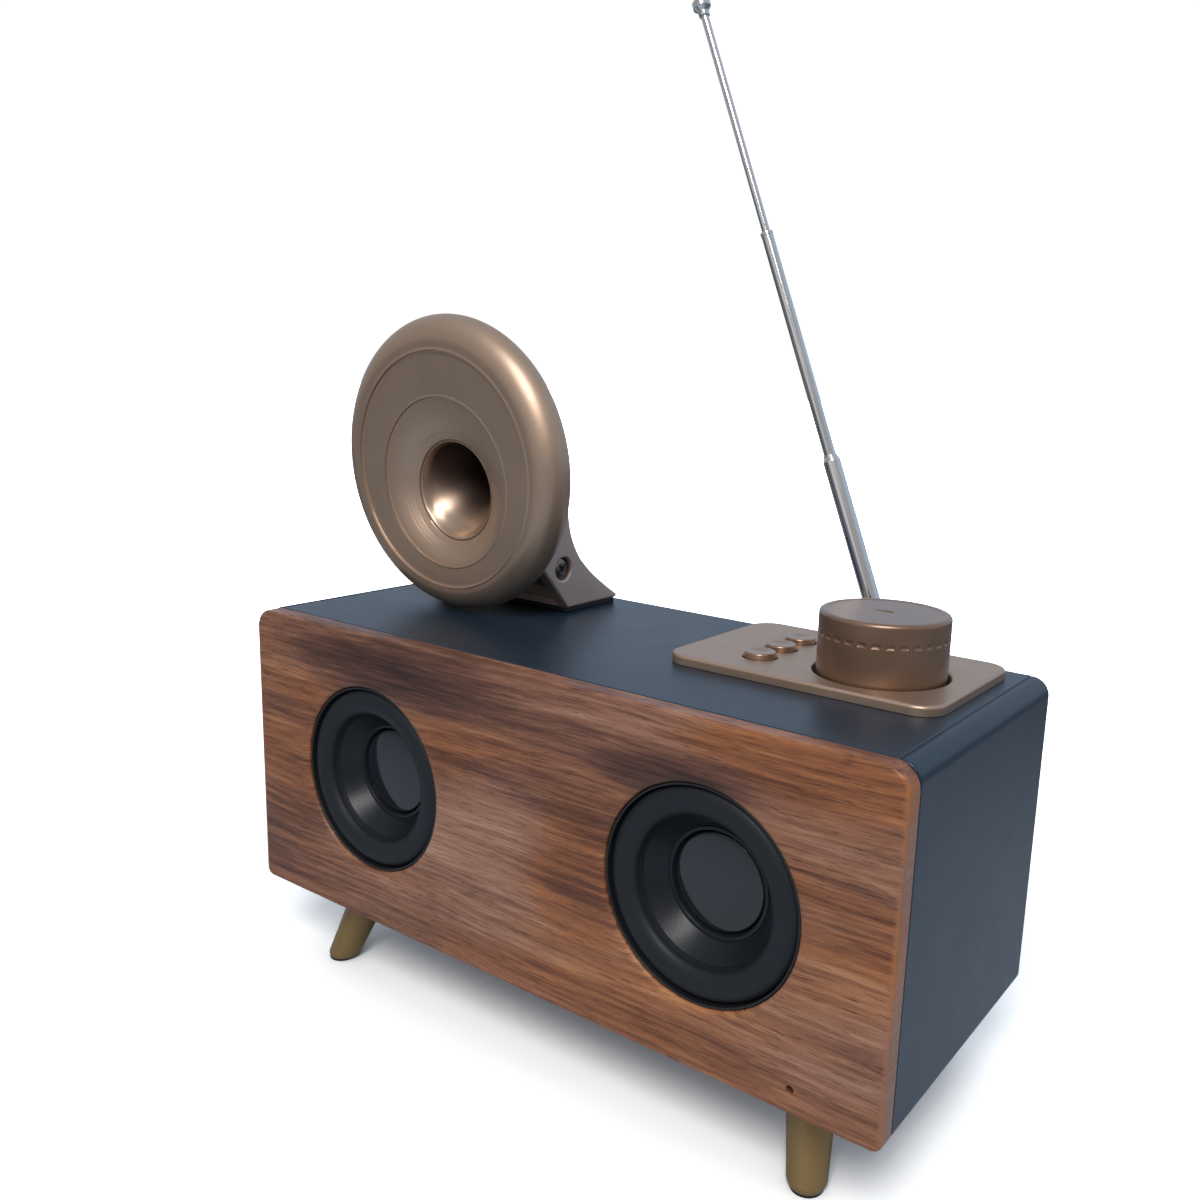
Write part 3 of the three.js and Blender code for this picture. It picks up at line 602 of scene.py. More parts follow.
WOOD = wood("walnut", (0.028, 0.010, 0.006), (0.125, 0.050, 0.028), (0.27, 0.125, 0.066),
            (0.45, 0.26, 0.16))
VINYL = leatherette("vinyl", (0.009, 0.019, 0.034), (0.012, 0.023, 0.040))
PLASTIC = satin("black_plastic", (0.008, 0.009, 0.011), (0.014, 0.015, 0.018), 0.42, IOR=1.45)
BRONZE_TONES = ((0.43, 0.315, 0.235), (0.49, 0.36, 0.275))
BRONZE = satin("bronze", *BRONZE_TONES, 0.42, Metallic=0.85)
# The throat's metal carries painted shade inside the throat.
THROAT_BRONZE_PAINTED_SHADE = painted_shade_throat_metal("throat_bronze_painted_shade", *BRONZE_TONES, (0.10, 0.068, 0.055))
YOKE_BRONZE = satin("yoke_bronze", (0.56, 0.45, 0.40), (0.62, 0.50, 0.45), 0.45, Metallic=0.8)
KNOB_BRONZE = turned_metal("knob_bronze", (0.23, 0.135, 0.088), (0.27, 0.165, 0.108), 0.36, KNOB)
BUTTON_BRONZE = {
    number: turned_metal(f"button_bronze_{number}", (0.30, 0.19, 0.13), (0.35, 0.225, 0.155), 0.3,
                         middle(f"button_{number}"))
    for number in BUTTONS
}
BRASS = satin("brass", (0.23, 0.16, 0.07), (0.31, 0.195, 0.08), 0.4, Metallic=0.6)
CHROME = satin("chrome", (0.62, 0.63, 0.65), (0.70, 0.71, 0.73), 0.16, relief=0.000004, Metallic=1.0)
STEEL = satin("steel", (0.42, 0.42, 0.43), (0.5, 0.5, 0.51), 0.3, Metallic=1.0)
BOLT = satin("bolt_steel", (0.16, 0.14, 0.13), (0.24, 0.22, 0.21), 0.22, Metallic=1.0)
RUBBER = satin("rubber", (0.008, 0.0105, 0.0145), (0.012, 0.015, 0.0205), 0.5, grain=1800.0, IOR=1.36)
CONE = satin("cone_paper", (0.007, 0.0095, 0.014), (0.011, 0.014, 0.019), 0.34, grain=1400.0,
             relief=0.00004, IOR=1.36)
GLOSS = satin("gloss_black", (0.010, 0.012, 0.016), (0.014, 0.016, 0.021), 0.06, relief=0.000001, IOR=1.6)
AMBER = woven("amber_cloth", (0.30, 0.17, 0.05), (0.48, 0.30, 0.11))
BOARD_GREEN = circuit("circuit_board", (0.012, 0.12, 0.05), (0.05, 0.22, 0.08))
CELL_WRAP = satin("cell_wrap", (0.05, 0.14, 0.33), (0.07, 0.18, 0.4), 0.35)


# ---- cabinet

BOARD_HOLE = 25.6 * MM
PIN_HOLE = {"right": 178.8 * MM, "up": 5.8 * MM, "radius": 0.85 * MM}


def front_board():
    holes = [hole_at(f"driver_frame_{side}", 2, BOARD_HOLE, 160, 1.6) for side in SIDES]
    pin_x, pin_z = BOARD_LOW.x + PIN_HOLE["right"], UNDERSIDE + PIN_HOLE["up"]
    pin = circle_edge(pin_x, pin_z, PIN_HOLE["radius"], 24, 0.3)
    radii = [2.5 * MM, 2.5 * MM, 5.5 * MM, 5.5 * MM]
    outline = rectangle_edge((BOARD_LOW.x, BOARD_HIGH.x), (UNDERSIDE, TOP), radii, 12)
    board = plate("board", [outline, *holes, pin], (FRONT, BOARD_BACK), 0.9 * MM, WOOD,
                  facing_front, 0.3 * MM, 6)
    settled(board, "cabinet", "walnut", "front_board")


SEAM_COVER = 0.35 * MM


def panel_width(low, high):
    """A panel between the sides is a little wider than in the CAD, so that its seams are closed."""
    return low.x - SEAM_COVER, high.x + SEAM_COVER


def panels():
    """The wrapped panels behind the board. Fine grooves run where their rounded edges meet."""
    for side, sign in SIDES.items():
        low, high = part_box(f"side_panel_{side}")
        outer_top, outer_foot, inner = 4.5 * MM, 2.5 * MM, 0.6 * MM
        radii = [inner, outer_foot, outer_top, inner]
        if sign < 0:
            radii = [outer_foot, inner, inner, outer_top]
        outline = rectangle_edge((low.x, high.x), (low.z, high.z), radii, 10)
        made = plate(f"side_{side}", [outline], (low.y, high.y), 0.5 * MM, VINYL, facing_front, 0.9 * MM)
        settled(made, "cabinet", "vinyl", f"side_panel_{side}")
    holes = [circle_edge(KNOB.x, KNOB.y, 3.6 * MM, 48)]
    holes += [hole_at(f"button_{number}", 1, 2.6 * MM, 32) for number in BUTTONS]
    for name, node, cuts in (("top", "top_panel", holes), ("underside", "bottom_panel", [])):
        low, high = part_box(node)
        # The outer face comes first: the panel with holes is on top.
        span = (high.z, low.z) if cuts else (low.z, high.z)
        outline = rectangle_edge(panel_width(low, high), (low.y, high.y), [0.1 * MM] * 4, 2)
        made = plate(name, [outline, *cuts], span, 0.5 * MM, VINYL, facing_up, 0.2 * MM)
        settled(made, "cabinet", "vinyl", node)


SWITCH_TRAVEL = 3 * MM


def rear():
    low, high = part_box("rear_panel")
    holes = [hole_at(f"rear_screw_{number}", 2, 1.4 * MM, 32) for number in REAR_SCREWS]
    gap = 0.3 * MM
    start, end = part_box("usb_port")
    holes.append(slot_edge((start.x - gap, end.x + gap), (start.z - gap, end.z + gap), 0.8 * MM))
    holes.append(hole_at("aux_jack", 2, 3.5 * MM, 64))
    slider = middle("power_slider")
    halfway = slider.x + SWITCH_TRAVEL / 2
    holes.append(slot_edge((halfway - 3.9 * MM, halfway + 3.9 * MM),
                           (slider.z - 1.6 * MM, slider.z + 1.6 * MM), 0.4 * MM))
    outline = rectangle_edge(panel_width(low, high), (low.z, high.z), [0.4 * MM] * 4, 4)
    made = plate("rear", [outline, *holes], (high.y, low.y), 0.5 * MM, VINYL, facing_front, 0.2 * MM)
    settled(made, "cabinet", "vinyl", "rear_panel")


def cross_cutter(top, axis, reach, width, depth, tilt=0.0):
    """The tapered cross that a cross-head screwdriver fits, from a face down."""
    u, v = across(axis)
    turn = Matrix.Rotation(tilt, 3, axis)
    u, v = turn @ u, turn @ v
    arm, corners = [(reach, width), (width, width), (width, reach)], []
    for _ in range(4):
        corners += arm
        arm = [(-b, a) for a, b in arm]
    rings = []
    above = 0.5
    for height, share in ((above, 1.15), (0.0, 1.0), (-depth, 0.45)):
        rings.append([top + axis * height * MM + (u * a + v * b) * share * MM for a, b in corners])
    rings = [[top + axis * above * MM], *rings, [top - axis * (depth + 0.4) * MM]]
    return piece("cutter", *loft(rings), STEEL)


def screw(name, profile, base, axis, look, reach, tilt):
    """A turned screw with a cross recess in its head, which goes out from the middle by its reach."""
    made = lathe(name, profile, base, axis, look, 64)
    face = profile[-1][1]
    cutter = cross_cutter(base + axis * face * MM, axis, reach, 0.28, 0.8, tilt)
    return clean(combined(made, [cutter], "DIFFERENCE"), 30)


def rear_fittings():
    for number in REAR_SCREWS:
        spot = middle(f"rear_screw_{number}")
        profile = filleted([(0, -6), (1.3, -6), (1.3, 0.05), (2.6, 0.05, 0.1), (2.6, 0.5, 0.3),
                            (1.6, 1.25, 0.8), (0, 1.3)])
        base = Vector((spot.x, REAR, spot.z))
        made = screw(f"case_screw_{number}", profile, base, Y, STEEL, 1.5, 0.4 * number)
        settled(made, "cabinet", "steel", f"rear_screw_{number}")
    settled(refined("charging_socket", "usb_port", STEEL, 0.15 * MM), "cabinet", "steel", "usb_port")
    jack = middle("aux_jack")
    low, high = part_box("aux_jack")
    length = (high.y - low.y) / MM
    profile = filleted([(0, 0), (3.2, 0), (3.2, length, 0.4), (1.85, length, 0.5), (1.8, 3, 0.1), (0, 3)])
    made = lathe("audio_socket", profile, Vector((jack.x, low.y, jack.z)), Y, PLASTIC, 64)
    settled(made, "cabinet", "black_plastic", "aux_jack")
    slider = refined("slide_switch", "power_slider", PLASTIC, 0.25 * MM, 3)
    settled(slider, "power_switch", "black_plastic", "power_slider")


# ---- legs

# A leg's profile is [radius, distance below its top].
LEG_PROFILE = [(0, 0.05), (6.2, 0.05), (6.15, 1.2, 1.0), (4.7, 22.2, 0.9), (4.1, 23.3, 0.3), (0, 23.3)]
# How far a leg goes outwards for each unit that it goes down.
SPLAY_X = 5.2 / 24
SPLAY_Y = 10 / 24


def leg(end, side):
    """A tapered leg whose sections stay level while it splays outwards to the front or the back."""
    sign_x = SIDES[side]
    sign_y = -1 if end == "front" else 1
    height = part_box(f"leg_{end}_{side}")[1].z
    foot = middle(f"foot_pad_{end}_{side}")
    splay = Vector((sign_x * SPLAY_X, sign_y * SPLAY_Y, -1))
    top = foot - splay * (height - foot.z)
    top.z = height

    def rings(profile):
        return [circle(top + splay * h * MM, X, Y, r * MM, 72) for r, h in profile]

    made = piece(f"tapered_leg_{end}_{side}", *loft(rings(filleted(LEG_PROFILE))), BRASS)
    settled(made, "cabinet", "brass", f"leg_{end}_{side}")
    bottom = (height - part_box(f"foot_pad_{end}_{side}")[0].z) / MM
    pad_profile = filleted([(0, 23.35), (3.9, 23.35), (3.9, bottom, 0.4), (0, bottom)])
    pad = piece(f"foot_{end}_{side}", *loft(rings(pad_profile)), RUBBER)
    settled(pad, "cabinet", "rubber", f"foot_pad_{end}_{side}")


# ---- loudspeakers

# The profiles are [radius, depth behind the front of the board]. ROUND is the number of faces in a ring.
ROUND = 160


def basket(side, base):
    profile = filleted([
        (24.85, 0.85, 0.2), (25.45, 0.85, 0.35), (25.45, 4.95), (22.5, 4.95), (17.2, 17), (17.2, 18.4),
        (14.6, 18.4), (14.6, 17.1), (21.4, 5.6), (21.8, 3.7), (24.85, 3.7)], looped=True)
    made = lathe(f"basket_{side}", profile, base, Y, PLASTIC, ROUND, looped=True)
    settled(made, "cabinet", "black_plastic", f"driver_frame_{side}")


def hung(made, side, node):
    """A soft ring between the basket and the cone, baked in place and riding on no body; its CAD node is
    hidden.
    """
    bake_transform(made)
    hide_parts(node)


def half_ellipse(radius, depth, reach, rise, steps=24):
    """One face of a roll, from its outer edge to its inner one."""
    angles = [math.pi * k / steps for k in range(steps + 1)]
    return [(radius + reach * math.cos(angle), depth - rise * math.sin(angle)) for angle in angles]


def surround(side, base):
    over = half_ellipse(21.2, 3.15, 3.5, 2.3)
    under = half_ellipse(21.2, 3.2, 3.1, 1.9)[::-1]
    section = [(24.8, 3.2), *over, (17.35, 3.9), (17.2, 4.35), (17.5, 4.35), (17.75, 3.9), *under,
               (24.8, 3.65)]
    made = lathe(f"roll_surround_{side}", section, base, Y, RUBBER, ROUND, looped=True)
    hung(made, side, f"surround_{side}")


def paper_cone(side, base):
    profile = filleted([
        (17.15, 4.35), (13.45, 9.35, 0.5), (13.2, 8.75, 0.25), (12.35, 8.75, 0.25), (11.9, 10.6, 0.3),
        (7.6, 14.8), (7.6, 15.3), (13.6, 10.2), (17.15, 4.85)], looped=True)
    made = lathe(f"paper_cone_{side}", profile, base, Y, CONE, ROUND, looped=True)
    settled(made, f"cone_{side}", "cone_paper", f"cone_{side}")


def spider(side, base):
    """A ring of cloth with five small pleats, from the back of the basket to the voice coil."""
    count, pleats, thickness = 32, 5, 0.3
    cloth = []
    for k in range(count + 1):
        inwards = k / count
        pleat = 0.2 * math.sin(2 * math.pi * pleats * inwards)
        cloth.append((14.35 - 6.7 * inwards, 16.85 - 1.15 * inwards + pleat))
    back = [(radius, depth + thickness) for radius, depth in reversed(cloth)]
    made = lathe(f"pleated_spider_{side}", [*cloth, *back], base, Y, AMBER, 96, looped=True)
    hung(made, side, f"spider_{side}")


def dust_cap(side, base):
    """A cap that is a little hollow, with a rounded shoulder."""
    hollow = [(10.9 * k / 20, 8.95 + 0.45 * (k / 20) ** 2) for k in range(21)]
    shoulder = filleted([hollow[-1], (11.55, 9.5, 0.45), (11.75, 10.4)], 6)[1:]
    profile = [*hollow, *shoulder, (11.3, 10.7), (7.4, 10.2), (0, 9.6)]
    made = lathe(f"gloss_cap_{side}", profile, base, Y, GLOSS, ROUND)
    settled(made, f"cone_{side}", "gloss_black", f"dust_cap_{side}")


def driver(side):
    spot = middle(f"driver_frame_{side}")
    for part in (basket, surround, paper_cone, spider, dust_cap):
        part(side, Vector((spot.x, FRONT, spot.z)))


# ---- controls

def control_plate():
    low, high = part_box("control_plate")
    edges = [rectangle_edge((low.x, high.x), (low.y, high.y), [6.5 * MM] * 4, 16),
             circle_edge(KNOB.x, KNOB.y, 16.3 * MM, 128)]
    edges += [hole_at(f"button_{number}", 1, 4.25 * MM, 64) for number in BUTTONS]
    made = plate("escutcheon", edges, (high.z, low.z), 0.75 * MM, BRONZE, facing_up, 0.2 * MM, 6)
    settled(made, "cabinet", "bronze", "control_plate")


# The knob's ring of notches, in millimetres. The drop is measured from its top.
NOTCHES = 30
NOTCH = {"drop": 5.2, "half_height": 0.55, "half_width": 1.0, "depth": 0.32}
STEPS_PER_NOTCH = 24
MARK = {"half_length": 2.2 * MM, "half_width": 0.6 * MM, "depth": 0.45 * MM}


def knob():
    """A turned knob with a ring of short notches below its top edge and a mark in the middle."""
    low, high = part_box("knob")
    radius = (high.x - low.x) / 2 / MM
    top = (high.z - KNOB.z) / MM
    bottom = (low.z - KNOB.z) / MM
    notch_middle = top - NOTCH["drop"]
    rows = [notch_middle + NOTCH["half_height"] * (k / 6) for k in range(-7, 8)]
    face = top - 0.12
    profile = filleted([(0, bottom), (radius - 0.5, bottom), (radius, bottom + 0.5, 0.4)], 4)
    profile += [Vector((radius, row)) for row in rows]
    profile += filleted([(radius, rows[-1] + 0.3), (radius, top, 1.25), (13.4, top, 0.3), (13.2, face, 0.2),
                         (12.9, face)], 8)
    profile += [Vector((inner, face)) for inner in (11, 9, 7, 5, 3.2, 1.5)]
    rings = [[KNOB + Z * bottom * MM]]
    for r, h in profile[1:]:
        share = max(0.0, 1 - (abs(h - notch_middle) / NOTCH["half_height"]) ** 4)
        if r < radius - 0.01:
            share = 0.0
        ring = []
        for angle in turns(NOTCHES * STEPS_PER_NOTCH):
            near = abs((angle * NOTCHES / (2 * math.pi) + 0.5) % 1 - 0.5) * 2 * math.pi * radius / NOTCHES
            dent = NOTCH["depth"] * share * max(0.0, 1 - (near / NOTCH["half_width"]) ** 4)
            out = (r - dent) * MM
            ring.append(KNOB + Vector((out * math.cos(angle), out * math.sin(angle), h * MM)))
        rings.append(ring)
    rings.append([KNOB + Z * face * MM])
    made = piece("volume_knob", *loft(rings), KNOB_BRONZE, 30)
    long, wide = MARK["half_length"], MARK["half_width"]
    x, y = (KNOB.x - long, KNOB.x + long), (KNOB.y - wide, KNOB.y + wide)
    span = (high.z - MARK["depth"], high.z + 1 * MM)
    mark = plate("mark", [rectangle_edge(x, y, [0.58 * MM] * 4, 6)], span, 0.1 * MM, KNOB_BRONZE, facing_up)
    clean(combined(made, [mark], "DIFFERENCE"), 30)
    settled(made, "knob", "knob_bronze", "knob")


def buttons():
    for number in BUTTONS:
        spot = middle(f"button_{number}")
        low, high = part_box(f"button_{number}")
        base = Vector((spot.x, spot.y, TOP))
        stem, top = (low.z - TOP) / MM, (high.z - TOP) / MM
        profile = filleted([(0, stem), (2.2, stem), (2.2, 0.8), (3.9, 0.8, 0.15), (3.9, top, 0.55),
                            (2.9, top - 0.05, 0.8), (1.2, top - 0.35, 1.2), (0, top - 0.38)])
        made = lathe(f"push_button_{number}", profile, base, Z, BUTTON_BRONZE[number], 72)
        settled(made, f"button_{number}", "knob_bronze", f"button_{number}")


# ---- horn

# Each point is [distance in front of the rim's middle, rise of the circle's centre, radius].
THROAT = [(-23, -3.4, 5.6), (-15, -3.2, 7.0), (-8.5, -3.9, 9.2), (-4.2, -5.4, 11.3), (-1.6, -6.8, 12.9),
          (0.05, -7.25, 13.7)]
LIP = [(0.3, -7.3, 13.95), (0.3, -7.3, 14.1), (-0.1, -7.3, 14.25), (-0.1, -7.3, 14.4), (0.5, -7.3, 14.6)]
FLARE = [(0.5, -7.3, 14.6), (1.2, -7.2, 15.9), (2.9, -6.4, 19.0), (3.9, -5.3, 22.0), (4.25, -4.8, 23.6)]
INNER_STEP = [(4.3, -4.75, 23.75), (4.36, -4.72, 23.85), (4.92, -4.65, 24.0), (4.96, -4.6, 24.2),
              (4.8, -4.55, 24.5)]
DISH = [(4.82, -4.5, 24.7), (5.1, -3.0, 28.6), (5.3, -1.4, 32.7)]
OUTER_STEP = [(5.36, -1.35, 32.85), (5.42, -1.3, 32.95), (6.1, -1.2, 33.12), (6.15, -1.15, 33.35),
              (5.95, -1.1, 33.7)]
RIM = [(5.98, -1.0, 34.0), (5.95, -0.6, 35.6), (4.95, -0.2, 38.3), (2.9, 0, 40.45), (0, 0, 41.5),
       (-2.8, 0, 40.6), (-4.8, 0, 38.2), (-6.3, -1, 31), (-8, -2.6, 24.5), (-12.5, -4, 17.5),
       (-22, -4.4, 10.6), (-26, -4.3, 8.6)]
GROOVES = {"radii": (16.2, 18.4), "width": 0.14, "depth": 0.05}
THROAT_DROP = 5 * MM


def bell_ring(forward, rise, radius=0.0, count=1):
    centre = BELL_MIDDLE + FORWARD * forward * MM + UPWARD * rise * MM
    return circle(centre, X, UPWARD, radius * MM, count)


def placed(points):
    return [Vector(point) for point in points]


def turned_grooves(line):
    """Fine turning grooves in the flare of the horn."""
    cut = []
    for forward, rise, radius in line:
        near = sum(math.exp(-((radius - groove) / GROOVES["width"]) ** 2) for groove in GROOVES["radii"])
        cut.append(Vector((forward - GROOVES["depth"] * near, rise, radius)))
    return cut


def in_throat(face):
    """Whether a face of the bell looks inwards or forwards from behind the rim's middle."""
    from_rim = face.center - BELL_MIDDLE
    depth = from_rim.dot(FORWARD)
    outwards = from_rim - FORWARD * depth + UPWARD * THROAT_DROP
    return depth < 0 and (face.normal.dot(outwards) < 0 or face.normal.dot(FORWARD) > 0.9)


def horn_bell():
    line = [*spline(THROAT, 8), *placed(LIP), *turned_grooves(spline(FLARE, 24)[1:]), *placed(INNER_STEP),
            *spline(DISH, 8), *placed(OUTER_STEP), *spline(RIM, 8)]
    rings = [bell_ring(-23.6, -3.4), *[bell_ring(*spot, 192) for spot in line], bell_ring(-26.3, -4.3)]
    made = piece("bell", *loft(rings), BRONZE, 42)
    made.data.materials.append(THROAT_BRONZE_PAINTED_SHADE)
    for face in made.data.polygons:
        face.material_index = 1 if in_throat(face) else 0
    settled(made, "horn", "bronze", "horn_bell")


def horn_arm():
    """The neck and barrel that carry the bell between the bracket's cheeks."""
    neck_line = [(-5, -35), (-5, -8), (-15, -10), (-22, -22), (-23, -31), (-17, -35.5)]
    spots = [bell_ring(*spot)[0] for spot in neck_line]
    outline = [(spot.y, spot.z) for spot in spots]
    span = (PIVOT.x - 9 * MM, PIVOT.x + 9 * MM)
    neck = plate("arm", [lambda inset: outline], span, 0.0, BRONZE, facing_side)
    barrel = lathe("barrel", [(0, -21.8), (5.8, -21.8), (5.8, 21.8), (0, 21.8)], PIVOT, X, BRONZE, 96)
    bore = lathe("bore", [(0, -23), (2.05, -23), (2.05, 23), (0, 23)], PIVOT, X, STEEL, 48)
    gap_back, gap_out = 0.15, 0.2
    skin = [bell_ring(s - gap_back, rise, r + gap_out, 144) for s, rise, r in spline(RIM[1:], 6)]
    hollow = [bell_ring(6, 0), bell_ring(6, 0, 36, 144), *skin, bell_ring(-26.2, -4.3)]
    clearance = piece("clearance", *loft(hollow), STEEL)
    combined(neck, [barrel])
    combined(neck, [bore, clearance], "DIFFERENCE")
    clean(neck, 30)
    softened(neck, 0.5 * MM, 3, 40)
    settled(neck, "horn", "bronze", "horn_arm")


# The outline of a cheek is [distance behind the board's front, height above its underside].
CHEEK_BACK = [(79.6, 84), (72.2, 88.8), (68, 91.8), (64.4, 94.9), (61.9, 97.4), (60.1, 100), (58.2, 103.6),
              (56.9, 108), (56.3, 117)]
CHEEK_CROWN = [(56.3, 117), (55.6, 119.8), (54, 121), (52.6, 120.2), (51.8, 117.4)]
CHEEK_SPAN = (26.1 * MM, 22.1 * MM)


def inset_line(line, inset):
    """A closed outline moved inwards by the same distance all round."""
    moved = []
    for i, here in enumerate(line):
        before, after = line[i - 1], line[(i + 1) % len(line)]
        way = ((here - before).normalized() + (after - here).normalized()).normalized()
        moved.append(here + Vector((-way.y, way.x)) * inset)
    return moved


def cheek_edge():
    foot = filleted([(56.5, 83), (79, 83, 0.4), (79.6, 84)], 4)
    front = placed([(48.8, 108), (45.6, 96)])
    line = [*foot, *spline(CHEEK_BACK, 5)[1:], *spline(CHEEK_CROWN, 5)[1:], *front]
    spots = [Vector((FRONT + y * MM, UNDERSIDE + z * MM)) for y, z in line]
    return lambda inset: [tuple(spot) for spot in inset_line(spots, inset)]


def bracket():
    """Two cheeks on a foot, with a web between them and a recess for each bolt."""
    low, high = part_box("horn_bracket")
    recess = circle_edge(PIVOT.y, PIVOT.z, 3.3 * MM, 64)
    cheeks = []
    for sign in (-1, 1):
        span = [PIVOT.x + sign * away for away in CHEEK_SPAN]
        cheeks.append(plate(f"cheek_{sign}", [cheek_edge(), recess], span, 0.7 * MM, YOKE_BRONZE,
                            facing_side, 0.3 * MM))
    width, depth = (low.x + 0.5 * MM, high.x - 0.5 * MM), (FRONT + 56.6 * MM, FRONT + 77.4 * MM)
    foot = plate("foot", [rectangle_edge(width, depth, [0.5 * MM] * 4, 3)],
                 (low.z + 2.4 * MM, low.z + 0.02 * MM), 0.4 * MM, YOKE_BRONZE, facing_up, 0.1 * MM)
    width, height = (low.x + 1 * MM, high.x - 1 * MM), (low.z + 0.2 * MM, UNDERSIDE + 89.2 * MM)
    web = plate("web", [rectangle_edge(width, height, [0.3 * MM] * 4, 3)],
                (FRONT + 57.2 * MM, FRONT + 60.2 * MM), 0.4 * MM, YOKE_BRONZE, facing_front)
    made = combined(cheeks[1], [cheeks[0], foot, web])
    made.name = "yoke"
    clean(made, 35, weighted=True)
    settled(made, "cabinet", "bronze", "horn_bracket")


def horn_fittings():
    settled(refined("yoke_pad", "bracket_pad", RUBBER, 0.3 * MM), "cabinet", "rubber", "bracket_pad")
    for side, sign in SIDES.items():
        profile = filleted([(0, 12), (2, 12, 0.3), (2, 22), (2.5, 22), (2.5, 24.3), (3.15, 24.3, 0.1),
                            (3.15, 24.9, 0.3), (1.8, 25.35, 1.0), (0, 25.45)])
        made = screw(f"bolt_{side}", profile, PIVOT, X * sign, BOLT, 1.9, 0.7)
        settled(made, "cabinet", "steel", f"pivot_bolt_{side}")


# ---- antenna

def on_antenna(name, profile, looped=False):
    return lathe(name, profile, ANTENNA_FOOT, ANTENNA_ALONG, CHROME, 64, looped, 30)


def antenna():
    low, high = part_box("antenna_base")
    base = Vector((ANTENNA_FOOT.x, low.y, ANTENNA_FOOT.z))
    depth = (high.y - low.y) / MM
    profile = filleted([(1.95, 0), (7, 0), (7, depth, 0.8), (1.95, depth, 0.1)], looped=True)
    made = lathe("antenna_socket", profile, base, Y, PLASTIC, 72, looped=True)
    settled(made, "cabinet", "black_plastic", "antenna_base")
    swivel = refined("swivel", "antenna_knuckle", CHROME, 0.2 * MM)
    settled(swivel, "antenna_mount", "chrome", "antenna_knuckle")

    tube = on_antenna("tube_body", filleted([
        (1.75, 10), (0, 9.5), (0, 5.4), (1.9, 5.4), (2.4, 7.4, 1.0), (2.4, 62.2, 0.6), (1.85, 63.6, 0.5),
        (1.85, 64, 0.1), (1.75, 63.9)]), looped=True)
    combined(tube, [eye_blade(ANTENNA_ALONG.cross(Y).normalized())])
    tube.name = "lower_section"
    clean(tube, 30)
    settled(tube, "antenna_lower", "chrome", "antenna_tube")

    sections = (
        ("middle_section", "antenna_centre", "antenna_middle", [
            (0, 57), (1.65, 57, 0.2), (1.65, 126.6, 0.3), (1.78, 126.9, 0.15), (1.78, 127.7, 0.2),
            (1.2, 128, 0.1), (1.2, 59), (0, 59)]),
        ("upper_section", "antenna_upper", "antenna_rod", [
            (0, 121), (1.1, 121, 0.2), (1.1, 189.9), (0, 189.9)]),
        ("tip_button", "antenna_upper", "antenna_tip", [
            (0, 190), (1.45, 190, 0.2), (1.6, 190.9, 0.3), (1.4, 191.4, 0.2), (2.55, 192.5, 0.5),
            (2.6, 194.3, 0.6), (1.4, 195.0, 0.8), (0, 195.1)]),
    )
    for name, body, node, profile in sections:
        settled(on_antenna(name, filleted(profile)), body, "chrome", node)


def eye_blade(side):
    """The flat blade and round eye at the foot of the lower section, bored for its pin."""
    half_width = 1.9
    angles = [math.pi + math.pi * k / 24 for k in range(25)]
    profile = [(half_width * math.cos(angle), half_width * math.sin(angle)) for angle in angles]
    profile += [(half_width, 7.5), (-half_width, 7.5)]
    outline = [(u * MM, v * MM) for u, v in profile]
    bore = circle_edge(0, 0, 0.96 * MM, 32, 0.0)

    def facing(u, v, w):
        return ANTENNA_FOOT + side * w + Y * u + ANTENNA_ALONG * v

    return plate("blade", [lambda inset: outline, bore], (-1.3 * MM, 1.3 * MM), 0.0, CHROME, facing)


# ---- carried-over nodes

def carried_over():
    """CAD nodes whose shape is right keep it, and get their materials."""
    looks = {
        "front_baffle": PLASTIC, "battery_holder": PLASTIC, "main_board": BOARD_GREEN,
        "control_board": BOARD_GREEN, "battery_cell": CELL_WRAP, "knob_shaft": STEEL, "encoder": STEEL,
        "antenna_pin": CHROME,
    }
    for side in SIDES:
        looks[f"magnet_{side}"] = STEEL
        looks[f"voice_coil_{side}"] = AMBER
    for node, look in looks.items():
        for slot in frame["nodes"][node].material_slots:
            slot.material = look


# ---- studio

def area_light(name, place, aim, size, power, colour):
    light = bpy.data.lights.new(name, "AREA")
    light.shape = "RECTANGLE"
    light.size, light.size_y = size
    light.energy = power
    light.color = colour
    made = added(name, light)
    made.location = place
    made.rotation_mode = "QUATERNION"
    made.rotation_quaternion = (Vector(aim) - Vector(place)).to_track_quat("-Z", "Y")


ROOM_FRONT = (0.42, 0.40, 0.39)
ROOM_BACK = (0.50, 0.60, 0.74)
ROOM_TOP = (0.52, 0.55, 0.59)
WHITE = (1.0, 1.0, 1.0)


def backdrop():
    """White to the camera. All else sees a pale blue wall behind, a dimmer room in front and a soft top."""
    world = bpy.data.worlds.new("studio")
    world.use_nodes = True
    sky = Nodes(world.node_tree)
    way = sky.axes(sky.node("TexCoord").outputs["Generated"])
    walls = sky.mixed(sky.levels(way["Y"], -0.35, 0.45, smooth=True), ROOM_FRONT, ROOM_BACK)
    whole = sky.mixed(sky.levels(way["Z"], 0.35, 0.95, smooth=True), walls, ROOM_TOP)
    shown = next(node for node in sky.tree.nodes if node.type == "BACKGROUND")
    shown.inputs["Color"].default_value = (*WHITE, 1)
    shown.inputs["Strength"].default_value = 1.05
    sky.end_in(sky.node("Background", {"Color": whole}).outputs[0], shown.outputs[0])
    bpy.context.scene.world = world


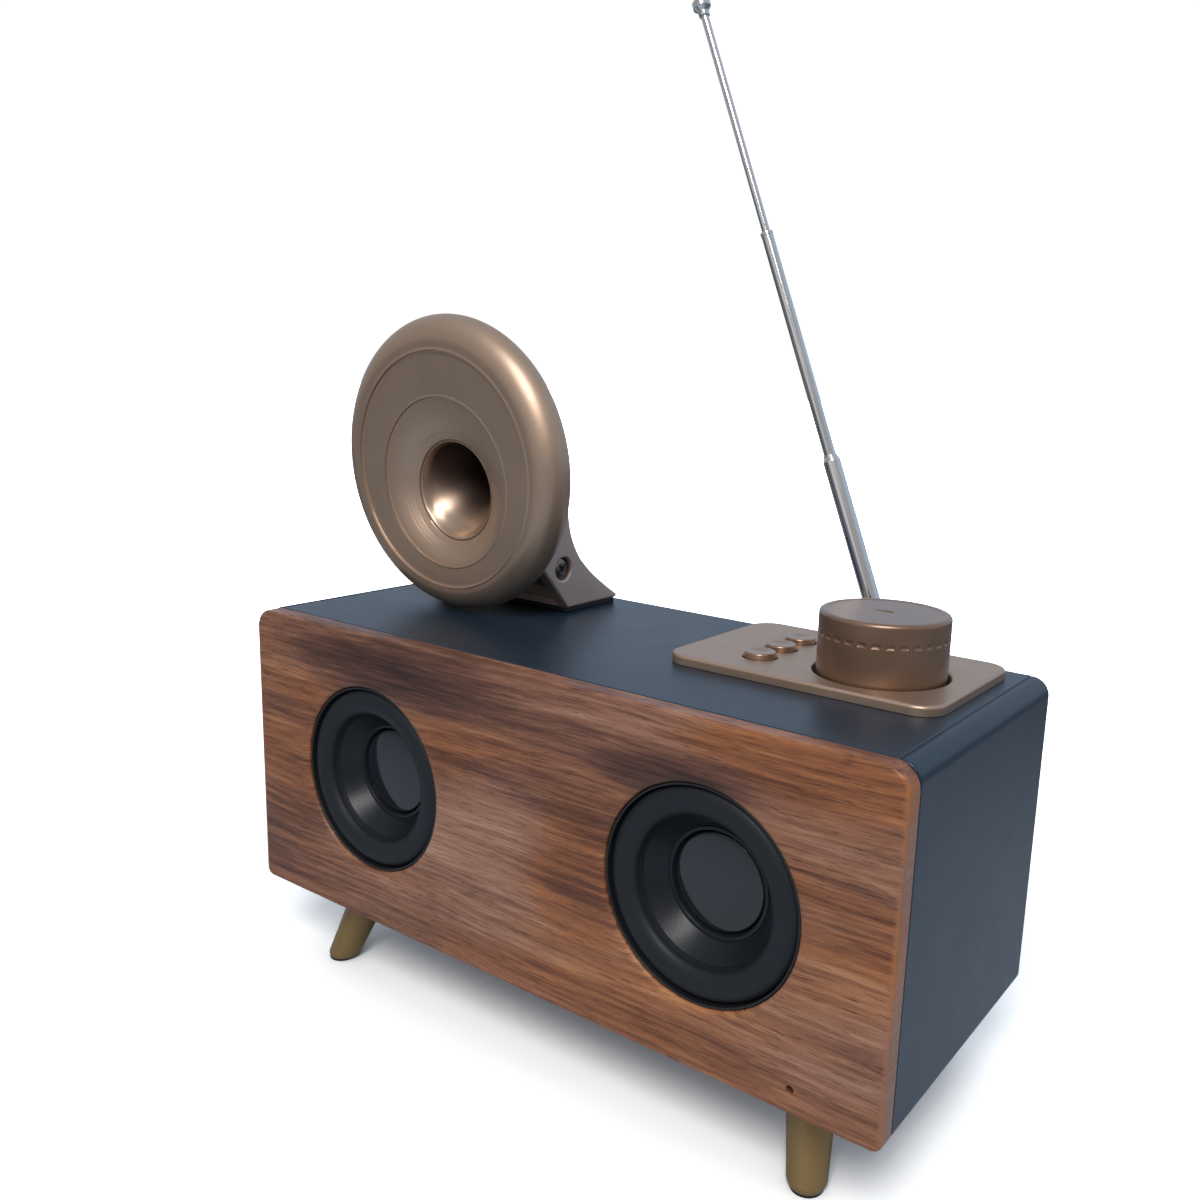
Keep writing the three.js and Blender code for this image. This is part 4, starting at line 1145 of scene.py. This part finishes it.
def pale_floor():
    """Pale near the object and darker far off. The camera sees it burnt out to white, as in a product
    picture, with a painted shade from ambient occlusion where the cabinet is close above it."""
    look = Look("pale_floor", Roughness=0.9, Specular_IOR_Level=0.0)
    tint = look.noise(look.place(), 3, 2)
    distance = look.length(look.place())
    near = look.mixed(tint, (0.52, 0.58, 0.65), (0.54, 0.60, 0.67))
    far = look.levels(distance, 0.12, 0.6, smooth=True)
    look.feed("Base Color", look.mixed(far, near, (0.20, 0.215, 0.24)))
    # Painted shade: ambient occlusion darkens the colour the camera sees under and near the cabinet.
    open_air = look.node("AmbientOcclusion", {"Distance": 0.028}, samples=8).outputs["AO"]
    painted_contact_shade = look.mixed(look.levels(open_air, 0.1, 0.7, smooth=True), (0.50, 0.55, 0.62), WHITE)
    burnt = look.levels(distance, 0.15, 0.8, 1.5, 6.0)
    white = look.node("VectorMath", {0: painted_contact_shade, "Scale": burnt}, operation="SCALE").outputs[0]
    look.end_in(look.shader.outputs[0], look.node("BsdfDiffuse", {"Color": white}).outputs[0])
    return look.material


def studio():
    """The floor, the backdrop and two soft lights."""
    half = 6.0
    mesh = bpy.data.meshes.new("floor")
    corners = [(-half, -half, 0), (half, -half, 0), (half, half, 0), (-half, half, 0)]
    mesh.from_pydata(corners, [], [(0, 1, 2, 3)])
    mesh.materials.append(pale_floor())
    floor = added("floor", mesh)
    backdrop()
    area_light("key", (0.33, -0.66, 0.82), (0, 0, 0.08), (0.38, 0.38), 6.3, (1.0, 0.98, 0.95))
    area_light("front", (-0.1, -1.3, 0.3), (0, 0, 0.12), (0.9, 0.5), 0.5, (1.0, 0.98, 0.96))
    bpy.context.scene.view_settings.view_transform = "Standard"


CAMERA_PLACE = (0.174586, -0.231485, 0.176954)
CAMERA_RIGHT = Vector((0.81764, 0.57452, 0.03732))
CAMERA_UP = Vector((-0.14768, 0.14665, 0.97810))


def camera():
    lens = bpy.data.cameras.new("camera")
    lens.lens = 33.389
    lens.sensor_width = 36
    lens.shift_x = -0.0667
    lens.clip_start = 0.01
    made = added("camera", lens)
    turn = Matrix((CAMERA_RIGHT, CAMERA_UP, CAMERA_RIGHT.cross(CAMERA_UP))).transposed().to_4x4()
    made.matrix_world = Matrix.Translation(CAMERA_PLACE) @ turn
    bpy.context.scene.camera = made


camera()
front_board()
panels()
rear()
rear_fittings()
for end in ("front", "rear"):
    for side in SIDES:
        leg(end, side)
for side in SIDES:
    driver(side)
control_plate()
knob()
buttons()
horn_bell()
horn_arm()
bracket()
horn_fittings()
antenna()
carried_over()
studio()
